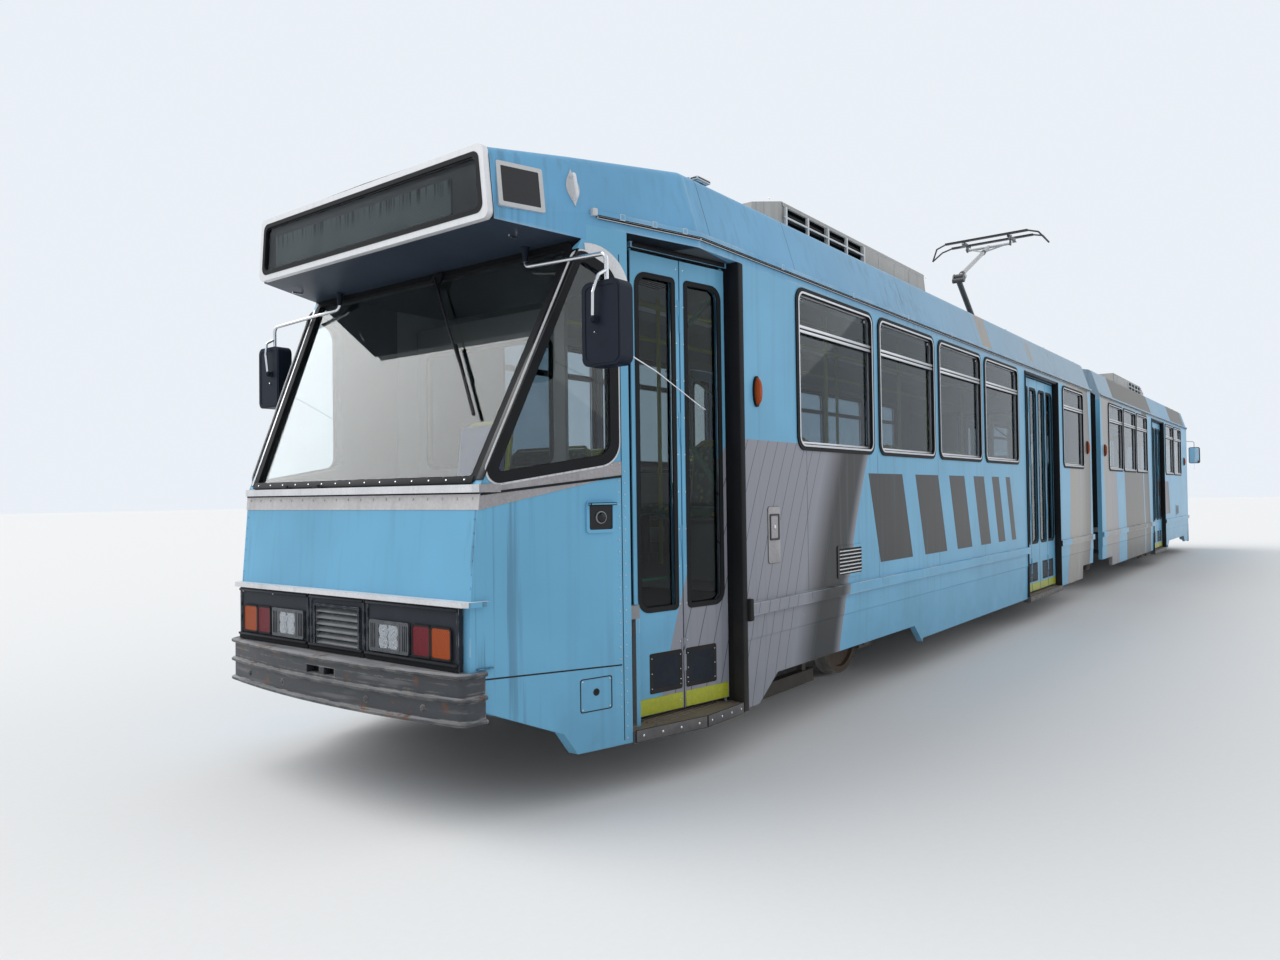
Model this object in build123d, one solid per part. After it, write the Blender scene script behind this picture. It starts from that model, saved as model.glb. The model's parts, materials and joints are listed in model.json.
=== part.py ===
from build123d import *
import math
import os

# Articulated two-section tram, in millimetres.
# X runs forward, Y to the left, Z up. The origin is under the articulation, at the wheel flanges' lowest
# point. Heights below are above the rail top, and place() lifts the finished pieces by the flange depth.
# The rear section is the front one turned half a turn about the vertical axis.

# Overall
half_length = 11815
half_width = 1335
flange_depth = 22
seat_gap = 0.3
reach = 3000

# Body shell
wall = 60
gutter_height = 2880
cantrail_bottom = gutter_height - 60
roof_edge_height = gutter_height + 380
roof_edge_half = half_width - 115
roof_crown = roof_edge_height + 130
roof_roll = 75
roof_depth = 160
ceiling_height = roof_edge_height - roof_depth
ceiling_half = half_width - 335
section_end = 330
belt_height = 1530
skirt_crease = 635
skirt_lean = 14
bogie_skirt_bottom = 388
end_skirt_bottom = 438
rail_bottom = 771
rail_top = 842
rail_proud = 26
rail_setback = 40

# Cab end, each station measured back from the bumper
sill_x = half_length - 200
bend_x = half_length - 1490
corner_half = half_width - 350
apron_x = half_length - 150
lower_front_x = half_length - 142
apron_bottom = 1000
screen_top_x = sill_x - 545
screen_top = cantrail_bottom - 80
panel_foot_x = half_length - 695
entry_front = half_length - 1015
entry_rear = half_length - 1885
pillar = 62

# Front profile of the cab below the apron: x, height
chin_line = [(panel_foot_x, 230), (half_length - 620, 340), (half_length - 198, 515), (lower_front_x, 570)]

# Destination box over the windscreen
box_face_x = half_length - 271
box_face_foot_x = half_length - 305
box_back_x = half_length - 775
box_top = gutter_height + 247
box_bottom = gutter_height - 110
box_half_top = corner_half - 39
box_half_bottom = corner_half
box_frame = 45
box_corner = 38

# Ledges of the front: projection, height, thickness
sill_ledge = (30, belt_height + 8, 36)
apron_ledge = (48, apron_bottom + 12, 24)

# Floor and steps
floor_top = 910
floor_thick = 70
step_low = 285
step_high = 600
step_depth = 420
step_second = 270
step_plate = 24
nosing_proud = 8
nosing_height = 62
turntable_radius = 640
turntable_gap = 6
beam_near = 250
beam_far = 330
beam_depth = 110

# Windows
window_top = cantrail_bottom - 10
window_bottom = belt_height + 225
window_height = window_top - window_bottom
window_corner = 95
frame_width = 42
frame_depth = 40
frame_proud = 9
glass_thick = 6
glass_depth = 22
sash_share = 0.72
sash_height = 50

# Doors
door_width = 1526
door_head = cantrail_bottom - 30
leaf_thick = 38
leaf_bottom = 310
leaf_top = door_head - 15
leaf_gap = 10
post_gap = 24
pivot_inset = 12
fold_clearance = 4
leaf_recess = 62
post_width = 44
pin_radius = 9
knuckle_radius = 6
knuckle_height = 90
knuckle_count = 4
leaf_frame = 48
leaf_corner = 60
leaf_window_bottom = 870
leaf_window_top = leaf_top - 120
leaf_panel_bottom = 430
leaf_panel_top = 620
leaf_panel_inset = 30
leaf_panel_recess = 6

# Mirrors
mirror_x = half_length - 615
mirror_y = half_width + 65
mirror_z = gutter_height - 610
mirror_width = 230
mirror_height = 390
mirror_depth = 90
mirror_corner = 40
mirror_arm_radius = 11

# Running gear
bogie_station = round(half_length * 0.711)
wheelbase_half = 900
wheel_radius = 330
flange_radius = wheel_radius + flange_depth
gauge_half = 717.5
wheel_back = gauge_half - 25
tyre_width = 110
tyre_inner_radius = 270
axle_radius = 70
hub_radius = 108
hub_length = 100
journal_radius = 50
journal_end = 1010
journal_clearance = 0.8
disc_radius = 210
disc_inner = 380
disc_thick = 30
frame_y = 950
beam_half_width = 40
axle_box_half = 115
pivot_radius = 180
brake_y = 750

# Pantograph: x and height of its hinges, the elbow's offset and the tubes
pan_base = (900, roof_crown + 310)
pan_knee = (pan_base[0] + 900, pan_base[1] + 750)
pan_head = (pan_base[0] - 480, pan_base[1] + 1450)
pan_bow = pan_head[1] + 130
elbow_offset = 75
lower_tube = 38
upper_tube = 30
pan_pin = 20
elbow_boss = 35
ear_near = 62
ear_far = 80
bearing_y = 300
bow_half = 600
horn_reach = 850
horn_drop = 205
strip_spread = 150
hanger_y = 315
insulator_radius = 45

# Line of the entrance door, from the rear post to the front one
entry_rear_y = half_width - 79
entry_run = 740
entry_drop = 138
entry_length = math.hypot(entry_run, entry_drop)
entry_angle = -math.degrees(math.atan2(entry_drop, entry_run))

# Doorways in the sides, front section: name, side, centre
doorway_centres = [
    ("left_mid", 1, round(bogie_station * 0.361)),
    ("right_mid", -1, round(bogie_station * 0.7027)),
]
doorways = [(name, side, centre - door_width / 2, centre + door_width / 2)
            for name, side, centre in doorway_centres]
left_door_rear, left_door_front = doorways[0][2:]
right_door_rear, right_door_front = doorways[1][2:]

# Cut under a panel where the bogie swings: rear foot, rear top, front top, front foot, height
bogie_cut = (bogie_station - 1354, bogie_station - 1170, bogie_station + 1107, bogie_station + 1330,
             bogie_skirt_bottom)


def end_cut(front):
    """Cut under a panel's rear end, up to the height that clears the middle bogie."""
    return (section_end - 1, section_end - 1, front, front + 15, end_skirt_bottom)


def lower_cut(rear, front, height):
    """Straight cut that raises a stretch of a panel's lower edge."""
    return (rear - 1, rear - 1, front, front, height)


# Side panels: side, rear end, front end, windows, clear space behind them, clear space before them,
# pillar between them, lowest edge, cuts from below
side_panels = [
    (1, section_end, left_door_rear, 1, 497, 222, 0, 266, [end_cut(section_end + 645)]),
    (1, left_door_front, entry_rear, 4, 285, 700, 90, 235,
     [lower_cut(left_door_front, bogie_cut[0], 266), bogie_cut]),
    (-1, section_end, right_door_rear, 3, 595, 545, 50, 303, [end_cut(section_end + 765)]),
    (-1, right_door_front, bend_x, 2, 184, 1045, 50, 250,
     [lower_cut(right_door_front, bogie_cut[0], 303), bogie_cut]),
]

taper_run = sill_x - bend_x
taper_drop = half_width - corner_half
taper_length = math.hypot(taper_run, taper_drop)
taper_cos = taper_run / taper_length
taper_plane = Plane(origin=(bend_x, half_width, 0), x_dir=(taper_run, -taper_drop, 0),
                    z_dir=(-taper_drop, -taper_run, 0))
screen_length = math.hypot(sill_x - screen_top_x, screen_top - belt_height)


def block(x0, x1, y0, y1, z0, z1):
    """Box between two corners."""
    return Pos((x0 + x1) / 2, (y0 + y1) / 2, (z0 + z1) / 2) * Box(x1 - x0, abs(y1 - y0), z1 - z0)


def rounded(points, radii):
    """Face on an outline, with one corner radius a point."""
    face = make_face(Polyline(*points, close=True))
    for (x, y), radius in zip(points, radii):
        if radius:
            face = fillet(face.vertices().sort_by_distance((x, y, 0))[0], radius)
    return face


def upright(points, z0, z1):
    """Prism on an outline seen from above."""
    return Pos(0, 0, z0) * extrude(make_face(Polyline(*points, close=True)), z1 - z0)


def side_view(y):
    """Plane seen from the right, with x forward and y up, at the distance y to the left."""
    return Plane(origin=(0, y, 0), x_dir=(1, 0, 0), z_dir=(0, -1, 0))


def across(points, y0, y1):
    """Prism on an outline seen from the side, from y0 to the larger y1."""
    return extrude(side_view(y1) * make_face(Polyline(*points, close=True)), y1 - y0)


def station(x):
    """Plane of a cross-section, with x to the left and y up."""
    return Plane(origin=(x, 0, 0), x_dir=(0, 1, 0), z_dir=(1, 0, 0))


def section_face(x, points):
    """Cross-section of the body at a station, from (y, z) points."""
    return station(x) * make_face(Polyline(*points, close=True))


def mirrored(points):
    """Half outline of (y, z) points closed by its mirror image."""
    return points + [(-y, z) for y, z in reversed(points) if y != 0]


def rod(start, end, radius):
    """Round bar between two points."""
    line = Vector(*end) - Vector(*start)
    return extrude(Plane(origin=start, z_dir=line) * Circle(radius), line.length)


def pin_across(x, z, y0, y1, radius):
    """Round bar or bore along Y."""
    return rod((x, y0, z), (x, y1, z), radius)


def side_flip(shape, side):
    """The shape itself on the left, and its mirror image on the right."""
    return shape if side > 0 else mirror(shape, about=Plane.XZ)


def taper_y(x, inset=0):
    """Half-width of the tapered cab side at a station."""
    return half_width - (x - bend_x) * taper_drop / taper_run - inset / taper_cos


def taper_s(x):
    """Distance along the tapered side from the bend."""
    return (x - bend_x) / taper_cos


def on_side(face, depth, outside=half_width):
    """Prism on a face in the left side's plane, going inward from outside."""
    return extrude(side_view(outside) * face, depth)


# Sides
def window_row(panel):
    """Rear edge and width of each window of a side panel, laid out between its ends."""
    _, rear, front, count, behind, before, gap = panel[:7]
    width = (front - rear - behind - before - gap * (count - 1)) / count
    return [(rear + behind + index * (width + gap), width) for index in range(count)]


def window_face(left, width, margin=0):
    """Window outline in the side's plane with its edges moved in by the margin."""
    return Pos(left + width / 2, window_bottom + window_height / 2) * RectangleRounded(
        width - 2 * margin, window_height - 2 * margin, window_corner - margin)


def side_panel(panel):
    """One flat panel of the body side with its windows, skirt, crease and rub rail."""
    side, rear, front = panel[:3]
    foot, cuts = panel[7:]
    profile = [(half_width - wall, foot), (half_width - skirt_lean, foot),
               (half_width - skirt_lean / 3, skirt_crease - 12), (half_width, skirt_crease),
               (half_width, cantrail_bottom), (half_width - wall, cantrail_bottom)]
    shell = extrude(section_face(rear, profile), front - rear)
    for rear_foot, rear_top, front_top, front_foot, height in cuts:
        notch = [(rear_foot, foot - 1), (rear_top, height), (front_top, height), (front_foot, foot - 1)]
        shell -= across(notch, half_width - 2 * wall, half_width + wall)
    rail_front = front - rail_setback if front == entry_rear else front
    shell += block(rear, rail_front, half_width, half_width + rail_proud, rail_bottom, rail_top)
    for left, width in window_row(panel):
        shell -= on_side(window_face(left, width), wall)
    return side_flip(shell, side)


def doorway_post(side, x, toward):
    """Post that closes the end of a panel beside a doorway, set in from the skin."""
    x0, x1 = sorted((x, x + toward * post_width))
    post = block(x0, x1, half_width - wall - post_width, half_width - wall, floor_top, cantrail_bottom)
    return side_flip(post, side)


def end_frame(side):
    """Frame that carries the bellows at the articulation end."""
    frame = block(section_end, section_end + 50, 780, half_width - wall, floor_top, cantrail_bottom)
    return side_flip(frame, side)


def make_side(side):
    solids = [side_panel(panel) for panel in side_panels if panel[0] == side] + [end_frame(side)]
    for _, door_side, rear, front in doorways:
        if door_side == side:
            solids += [doorway_post(side, rear, -1), doorway_post(side, front, 1)]
    if side > 0:
        solids.append(doorway_post(side, entry_rear, -1))
    return Compound(solids)


# Roof with its fascia and the destination box
def roof_face(x, half, edge_half, gutter, edge_height, crown, foot):
    """Cross-section of the roof with rolled edges."""
    shoulder = (edge_half * 0.55, edge_height + (crown - edge_height) * 0.8)
    right = [(half, foot), (half, gutter), (edge_half, edge_height), shoulder]
    points = right + [(0, crown)] + [(-y, z) for y, z in reversed(right)]
    rolls = [0, 0, roof_roll, 0, 0, 0, roof_roll, 0, 0]
    return station(x) * rounded(points, rolls)


def roof_at(y):
    """Height of the straight roof's skin at a distance from its middle."""
    shoulder_y = roof_edge_half * 0.55
    shoulder_drop = (roof_crown - roof_edge_height) * 0.2
    return roof_crown - shoulder_drop * y / shoulder_y


def ceiling_cut(x0, x1):
    """Space under the ceiling between the two cantrails."""
    points = [(half_width - wall, cantrail_bottom - 10), (half_width - wall, gutter_height),
              (ceiling_half, ceiling_height)]
    return extrude(section_face(x0, mirrored(points)), x1 - x0)


def roof_shell():
    """Straight part of the roof with the ceiling's hollow."""
    face = roof_face(section_end, half_width, roof_edge_half, gutter_height, roof_edge_height,
                     roof_crown, cantrail_bottom)
    return extrude(face, bend_x - section_end) - ceiling_cut(section_end - 1, bend_x - 450)


def roof_nose():
    """Roof over the cab, narrowing to the destination box and running down over its face."""
    half = taper_y(box_back_x)
    edge_height = roof_edge_height - 82
    crown = roof_crown - 100
    back = roof_face(bend_x, half_width, roof_edge_half, gutter_height, roof_edge_height, roof_crown,
                     cantrail_bottom)
    middle = roof_face(box_back_x, half, half - 82, gutter_height, edge_height, crown, cantrail_bottom)
    nose = loft([back, middle], ruled=True)
    rear = roof_face(box_back_x, half, half - 82, gutter_height, edge_height, crown, box_bottom - 25)
    front = roof_face(box_face_foot_x, box_half_bottom, box_half_top + 4, box_bottom + 40, box_top,
                      box_top + 23, box_bottom)
    return nose + loft([rear, front], ruled=True)


def destination_box():
    """Frame round the destination display, open at the front."""
    def outline(margin):
        points = [(box_half_bottom - margin, box_bottom + margin), (box_half_top - margin, box_top - margin),
                  (margin - box_half_top, box_top - margin), (margin - box_half_bottom, box_bottom + margin)]
        return rounded(points, [box_corner] * 4)
    ring = station(box_face_foot_x) * (outline(0) - outline(box_frame))
    return extrude(ring, box_face_x - box_face_foot_x)


def gutter_strip():
    """Drip rail that follows the straight side and the taper."""
    tip_x = box_back_x - 35
    near, far = half_width - 6, half_width + 20
    points = [(section_end, near), (bend_x, near), (tip_x, taper_y(tip_x) - 6),
              (tip_x, taper_y(tip_x) + 20), (bend_x, far), (section_end, far)]
    return upright(points, gutter_height - 6, gutter_height + 18) - roof_shell() - roof_nose()


def roof_housing():
    """Equipment housing on the roof with sloped ends and louvred bays in its sides."""
    front, half, top = bogie_station + 360, 700, roof_crown + 350
    rear = front - 3760
    foot = roof_edge_height
    body = across([(rear, foot), (rear + 150, top), (front - 550, top), (front - 100, top - 115),
                   (front, foot)], -half, half)
    bays, rib = 4, 60
    start, end = rear + 260, front - 620
    bay = (end - start - rib * (bays - 1)) / bays
    for index in range(bays):
        left = start + index * (bay + rib)
        opening = block(left, left + bay, half - 45, half + 5, top - 190, top - 40)
        for slat in range(3):
            z = top - 178 + slat * 48
            opening -= across([(left, z), (left, z + 12), (left + bay, z + 12), (left + bay, z)],
                              half - 45, half - 12)
        body -= opening
        body -= side_flip(opening, -1)
    return body - roof_shell()


def make_roof():
    solids = [roof_shell(), roof_nose(), destination_box(), roof_housing()]
    strip = gutter_strip()
    solids += [strip, side_flip(strip, -1)]
    for _, side, rear, front in doorways:
        head = block(rear, front, half_width - wall - post_width, half_width - wall, door_head,
                     cantrail_bottom)
        solids.append(side_flip(head, side))
    head = Rot(0, 0, entry_angle) * block(10, entry_length, leaf_recess - wall - post_width, 12,
                                          door_head, cantrail_bottom)
    solids.append(Pos(entry_rear, entry_rear_y, 0) * head)
    return Compound(solids)


# Cab front
def cab_envelope(inset):
    """Solid inside the cab's outer faces, each moved in by the inset and left open below if it is."""
    plan = [(entry_rear, half_width - inset), (bend_x, taper_y(bend_x, inset)),
            (half_length, taper_y(half_length, inset)), (half_length, -taper_y(half_length, inset)),
            (bend_x, -taper_y(bend_x, inset)), (entry_rear, inset - half_width)]
    drop = 200 if inset else 0
    low = chin_line[0][1] - drop
    profile = [(entry_rear, low)]
    profile += [(x - inset, z - drop) for x, z in chin_line[:2]]
    profile += [(x - inset, z) for x, z in chin_line[2:]]
    profile += [(apron_x - inset, apron_bottom), (sill_x - inset, belt_height),
                (screen_top_x - inset, screen_top), (screen_top_x - inset, cantrail_bottom + inset),
                (entry_rear, cantrail_bottom + inset)]
    return upright(plan, low, cantrail_bottom + inset) & across(profile, -reach, reach)


def screen_plane():
    """Plane of the raked windscreen, its x axis to the left and its y axis up the glass."""
    rake = Vector(screen_top_x - sill_x, 0, screen_top - belt_height)
    return Plane(origin=(sill_x, 0, belt_height), x_dir=(0, 1, 0), z_dir=Vector(0, 1, 0).cross(rake))


def screen_outline(margin):
    """Windscreen opening with its edges moved in by the margin."""
    foot = corner_half - pillar - margin
    head = taper_y(screen_top_x) - pillar - margin
    points = [(foot, 35 + margin), (head, screen_length - 25 - margin),
              (-head, screen_length - 25 - margin), (-foot, 35 + margin)]
    return rounded(points, [20, 30, 30, 20])


def side_glass_outline(margin):
    """Cab side window in the plane of the tapered side, edges moved in by the margin."""
    rear_x = sill_x - 710
    corners = [(sill_x - 62, belt_height + 48), (screen_top_x + 8, cantrail_bottom - 168),
               (rear_x, cantrail_bottom - 240), (rear_x, belt_height + 150)]
    face = rounded([(taper_s(x), z) for x, z in corners], [20, 25, 90, 70])
    return offset(face, -margin) if margin else face


def front_ledge(projection, top, thickness):
    """Strip across the front that stands proud of the apron, its ends cut to the tapered sides."""
    x1 = apron_x + projection if top < belt_height else sill_x + projection
    half = corner_half + 10
    points = [(x1 - 120, half + 33), (x1 - 18, half), (x1, half - 30), (x1, 30 - half), (x1 - 18, -half),
              (x1 - 120, -half - 33)]
    return upright(points, top - thickness, top) - cab_envelope(0)


def make_cab():
    shell = cab_envelope(0) - cab_envelope(wall)
    shell -= block(entry_rear - 10, entry_front, 0, reach, 0, reach + roof_crown)
    shell -= block(entry_rear - 10, bend_x, -reach, 0, 0, reach + roof_crown)
    shell -= block(entry_rear - 10, box_back_x, -reach, reach, cantrail_bottom, roof_crown)
    shell -= block(box_back_x, half_length, -reach, reach, box_bottom - 25, roof_crown)
    shell -= extrude(screen_plane() * screen_outline(0), 200, both=True)
    for side in (1, -1):
        shell -= side_flip(extrude(taper_plane * side_glass_outline(0), 150, both=True), side)
    return Compound([shell, entry_jamb(floor_top, cantrail_bottom), front_ledge(*sill_ledge),
                     front_ledge(*apron_ledge)])


def entry_jamb(z0, z1):
    """Slanted front post of the entrance, from the door line out to the skin."""
    inner_x = entry_rear + entry_run + 25
    back_y = entry_rear_y - entry_drop
    points = [(entry_front, taper_y(entry_front, wall)), (inner_x, back_y), (inner_x, back_y - 60),
              (inner_x + post_width, back_y - 60),
              (entry_front + post_width, taper_y(entry_front + post_width, wall))]
    return upright(points, z0, z1)


# Windows
def all_windows():
    return [(panel[0], left, width) for panel in side_panels for left, width in window_row(panel)]


def make_window_frames():
    """Rubber frames with the bar of the hopper sash, in the cut-outs of the sides."""
    rings = []
    for side, left, width in all_windows():
        ring = on_side(window_face(left, width, seat_gap) - window_face(left, width, frame_width),
                       frame_depth + frame_proud, half_width + frame_proud)
        sash_z = window_bottom + window_height * sash_share
        ring += block(left + frame_width - 5, left + width - frame_width + 5,
                      half_width - glass_depth + seat_gap, half_width - 2, sash_z, sash_z + sash_height)
        rings.append(side_flip(ring, side))
    return Compound(rings)


def make_glazing():
    """Panes of the side windows, the windscreen and the cab side windows."""
    panes = []
    for side, left, width in all_windows():
        pane = on_side(window_face(left, width, frame_width + seat_gap), glass_thick,
                       half_width - glass_depth)
        panes.append(side_flip(pane, side))
    panes.append(extrude(screen_plane().offset(-20) * screen_outline(seat_gap), glass_thick))
    for side in (1, -1):
        pane = extrude(taper_plane.offset(14) * side_glass_outline(seat_gap), glass_thick)
        panes.append(side_flip(pane, side))
    return Compound(panes)


# Floor, steps and underframe
floor_low = floor_top - floor_thick
side_inner = half_width - wall
tread_inner = side_inner - step_depth
well_inner = tread_inner - step_second


def step_well(x0, x1):
    """Two treads with their risers and end plates, on the left, each plate a solid of its own."""
    plate = step_plate
    return [
        block(x0, x1, tread_inner, side_inner, step_low - plate, step_low),
        block(x0, x1, tread_inner - plate, tread_inner, step_low - plate, step_high - plate),
        block(x0, x1, well_inner - plate, tread_inner, step_high - plate, step_high),
        block(x0, x1, well_inner - plate, well_inner, step_high, floor_low),
        block(x0 - plate, x0, well_inner - plate, side_inner, step_low - plate, floor_low),
        block(x1, x1 + plate, well_inner - plate, side_inner, step_low - plate, floor_low),
    ]


def doorway_nosing(x0, x1):
    """Step edge that fills the doorway's foot out to the skin."""
    return block(x0, x1, side_inner, half_width + nosing_proud, step_low - nosing_height, step_low)


def entry_nosing():
    """Step edge of the entrance, following the bend of the side."""
    z0, z1 = step_low - nosing_height, step_low
    straight = block(entry_rear, bend_x, side_inner, half_width + nosing_proud, z0, z1)
    slanted = upright([(bend_x, side_inner), (bend_x, half_width + nosing_proud),
                       (entry_front, taper_y(entry_front) + nosing_proud),
                       (entry_front, taper_y(entry_front, wall))], z0, z1)
    return [straight, slanted]


def side_decks(nose_x):
    """Floor panels between the wells and the body side, from end to end."""
    entry_end = entry_rear + entry_run + 20
    decks = []
    for rear, front in ((section_end, left_door_rear), (left_door_front, entry_rear)):
        decks.append(block(rear, front, well_inner, side_inner, floor_low, floor_top))
    decks.append(upright([(entry_end, well_inner), (entry_end, taper_y(entry_end, wall)),
                          (nose_x, taper_y(nose_x, wall)), (nose_x, well_inner)], floor_low, floor_top))
    decks.append(block(section_end, right_door_rear, -side_inner, -well_inner, floor_low, floor_top))
    decks.append(upright([(right_door_front, -well_inner), (right_door_front, -side_inner),
                          (bend_x, -taper_y(bend_x, wall)), (nose_x, -taper_y(nose_x, wall)),
                          (nose_x, -well_inner)], floor_low, floor_top))
    return decks


# Equipment hung under the floor: rear x, front x, right y, left y, lowest height
equipment_cases = [
    (left_door_front + 164, right_door_rear - 140, -1150, 1150, 330),
    (left_door_rear + 60, left_door_front - 56, -1150, 480, 400),
    (right_door_rear + 60, right_door_front - 66, -480, 1150, 360),
]


def make_floor(front_car):
    nose_x = sill_x - wall - 5
    entry_end = entry_rear + entry_run + 20
    middle = block(section_end, nose_x, -well_inner, well_inner, floor_low, floor_top)
    disc = Pos(0, 0, floor_low) * extrude(Circle(turntable_radius), floor_thick)
    if front_car:
        solids = [middle, disc & block(-reach, section_end, -reach, reach, 0, reach)]
    else:
        solids = [middle - Pos(0, 0, floor_low - 5) * extrude(Circle(turntable_radius + turntable_gap),
                                                              floor_thick + 10)]
    solids += side_decks(nose_x)
    for _, side, rear, front in doorways:
        solids += [side_flip(plate, side) for plate in step_well(rear, front)]
        solids.append(side_flip(doorway_nosing(rear, front), side))
    room = upright([(entry_rear - reach, 0), (entry_end + step_plate, 0),
                    (entry_end + step_plate, taper_y(entry_end + step_plate, wall)),
                    (bend_x, side_inner), (entry_rear - reach, side_inner)], 0, floor_top)
    solids += [plate & room for plate in step_well(entry_rear, entry_end)]
    solids += entry_nosing()
    jamb_foot = entry_jamb(step_low, floor_top) - upright(
        [(entry_end, 0), (entry_end, reach), (half_length, reach), (half_length, 0)], floor_low, floor_top)
    solids.append(jamb_foot - block(entry_end, entry_end + step_plate, 0, reach, 0, floor_low))
    for side in (1, -1):
        beam = block(section_end + 900, bogie_station - 1500, beam_near, beam_far, floor_low - beam_depth,
                     floor_low)
        solids.append(side_flip(beam, side))
    for rear, front, right, left, low in equipment_cases:
        solids.append(block(rear, front, right, left, low, floor_low - beam_depth))
    return Compound(solids)


# Bumper and lamps
bumper_bottom = 455
bumper_top = 695
rib_height = 38
rib_proud = 25

# Ribs of the bumper: lower edge of each
bumper_ribs = [474, 561, 641]

# Tow slot: half width, lower edge, height, depth
tow_slot = (120, 600, 40, 60)


def bumper_plan(front, half):
    """Bumper outline seen from above, bowed to the front with rounded ends."""
    back = sill_x - 15
    bow = 70
    arc = ThreePointArc((front - bow, half - 90), (front, 0), (front - bow, 90 - half))
    ends = FilletPolyline((front - bow, 90 - half), (front - bow - 22, -half), (back, -half - 20),
                          (back, half + 20), (front - bow - 22, half), (front - bow, half - 90), radius=18)
    return make_face(arc + ends)


def make_bumper():
    half = corner_half
    body = Pos(0, 0, bumper_bottom) * extrude(bumper_plan(half_length - rib_proud, half),
                                              bumper_top - bumper_bottom)
    for z in bumper_ribs:
        body += Pos(0, 0, z) * extrude(bumper_plan(half_length, half + 15), rib_height)
    slot_half, slot_low, slot_height, slot_depth = tow_slot
    body -= block(half_length - slot_depth, half_length + 10, -slot_half, slot_half, slot_low,
                  slot_low + slot_height)
    body -= cab_envelope(0)
    return body - block(0, panel_foot_x + 300, -reach, reach, 0, reach)


# Lamps across one half of the panel: name, near y, far y
lamp_cells = [("head", 290, 582), ("tail", 611, 735), ("turn", 745, 880)]
lamp_bottom = apron_bottom - 255
lamp_top = apron_bottom - 112

# Bays of the lamp panel: right y, left y
lamp_bays = [(-930, -250), (-235, 235), (250, 930)]


def make_lamps():
    """Dark panel in three raised bays, with its lamps as separate lenses and a louvre in the middle."""
    z0, z1 = apron_bottom - 305, apron_bottom - 14
    x0, x1 = apron_x + 8, apron_x + 34
    rim = 14
    panel = block(x0, x1 - 10, -930, 930, z0, z1)
    for right, left in lamp_bays:
        panel += block(x1 - 10, x1, right, left, z0, z1)
        panel -= block(x1 - 6, x1 + 1, right + rim, left - rim, z0 + rim, z1 - rim)
    lenses = []
    for side in (1, -1):
        for _, near, far in lamp_cells:
            y0, y1 = sorted((side * near, side * far))
            panel -= block(x0 + 8, x1 + 1, y0, y1, lamp_bottom, lamp_top)
            lenses.append(block(x0 + 8 + seat_gap, x1 + 4, y0 + seat_gap, y1 - seat_gap,
                                lamp_bottom + seat_gap, lamp_top - seat_gap))
    panel -= block(x0 + 4, x1 + 1, -185, 185, z0 + 30, z1 - 55)
    slat_pitch = 33
    for slat in range(6):
        z = z0 + 33 + slat * slat_pitch
        panel += across([(x0, z), (x1 - 4, z + 4), (x1 - 4, z + 10), (x0, z + 26)], -190, 190)
    return Compound([panel] + lenses)


# Mirrors
def make_mirrors():
    """Mirror housings hung from bent arms under the destination box."""
    head = Pos(mirror_x, mirror_y, mirror_z) * Box(mirror_depth, mirror_width, mirror_height)
    head = fillet(head.edges().filter_by(Axis.X), mirror_corner)
    foot_x = box_back_x + 80
    slope = 25 / (box_face_foot_x - box_back_x)
    foot_z = box_bottom - slope * (box_face_foot_x - foot_x + mirror_arm_radius) - seat_gap
    route = FilletPolyline((foot_x, 800, foot_z), (foot_x, 800, box_bottom - 120),
                           (mirror_x, mirror_y, box_bottom - 170),
                           (mirror_x, mirror_y, mirror_z + mirror_height / 2 - 20), radius=35)
    arm = sweep(Plane(origin=route @ 0, z_dir=route % 0) * Circle(mirror_arm_radius), path=route)
    return Compound([side_flip(head + arm, side) for side in (1, -1)])


# Interior
cushion_bottom = floor_top + 400
cushion_top = floor_top + 490
cushion_half = 210
bench_inner = 400
bench_outer = half_width - 80
bench_margin = 570
bench_pitch = 800

# Stretches of wall with benches: side, rear end, front end
bench_walls = [
    (1, section_end, left_door_rear),
    (1, left_door_front, entry_rear),
    (-1, section_end, right_door_rear),
    (-1, right_door_front, bend_x - 205),
]


def bench_rows():
    """Side, station and facing way of each bench, spread along the stretches of wall."""
    rows = []
    for side, rear, front in bench_walls:
        span = front - rear - 2 * bench_margin
        count = int(span // bench_pitch) + 1
        pitch = span / max(count - 1, 1)
        rows += [(side, rear + bench_margin + index * pitch, 1 - 2 * (index % 2)) for index in range(count)]
    return rows


def make_seats():
    """Cross benches for two, each a cushion on a pedestal with a raked backrest."""
    solids = []
    for side, x, way in bench_rows():
        heel = cushion_half + seat_gap
        cushion = block(x - cushion_half, x + cushion_half, bench_inner, bench_outer, cushion_bottom,
                        cushion_top)
        pedestal = block(x - 120, x + 120, bench_inner + 160, bench_outer - 155, floor_top + seat_gap,
                         cushion_bottom)
        back = across([(x - way * heel, cushion_bottom + 20), (x - way * heel, cushion_top),
                       (x - way * (heel + 64), cushion_top + 450), (x - way * (heel + 110), cushion_top + 450),
                       (x - way * (heel + 52), cushion_bottom + 20)], bench_inner, bench_outer)
        solids += [side_flip(solid, side) for solid in (cushion, pedestal, back)]
    return Compound(solids)


pole_y = 360
pole_radius = 17
rail_height = cantrail_bottom - 60

# Stations of the grab poles
pole_stations = [section_end + 370, left_door_rear - 120, left_door_front + 120, right_door_rear - 120,
                 right_door_front + 120, bogie_station, entry_rear - 230]


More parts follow.
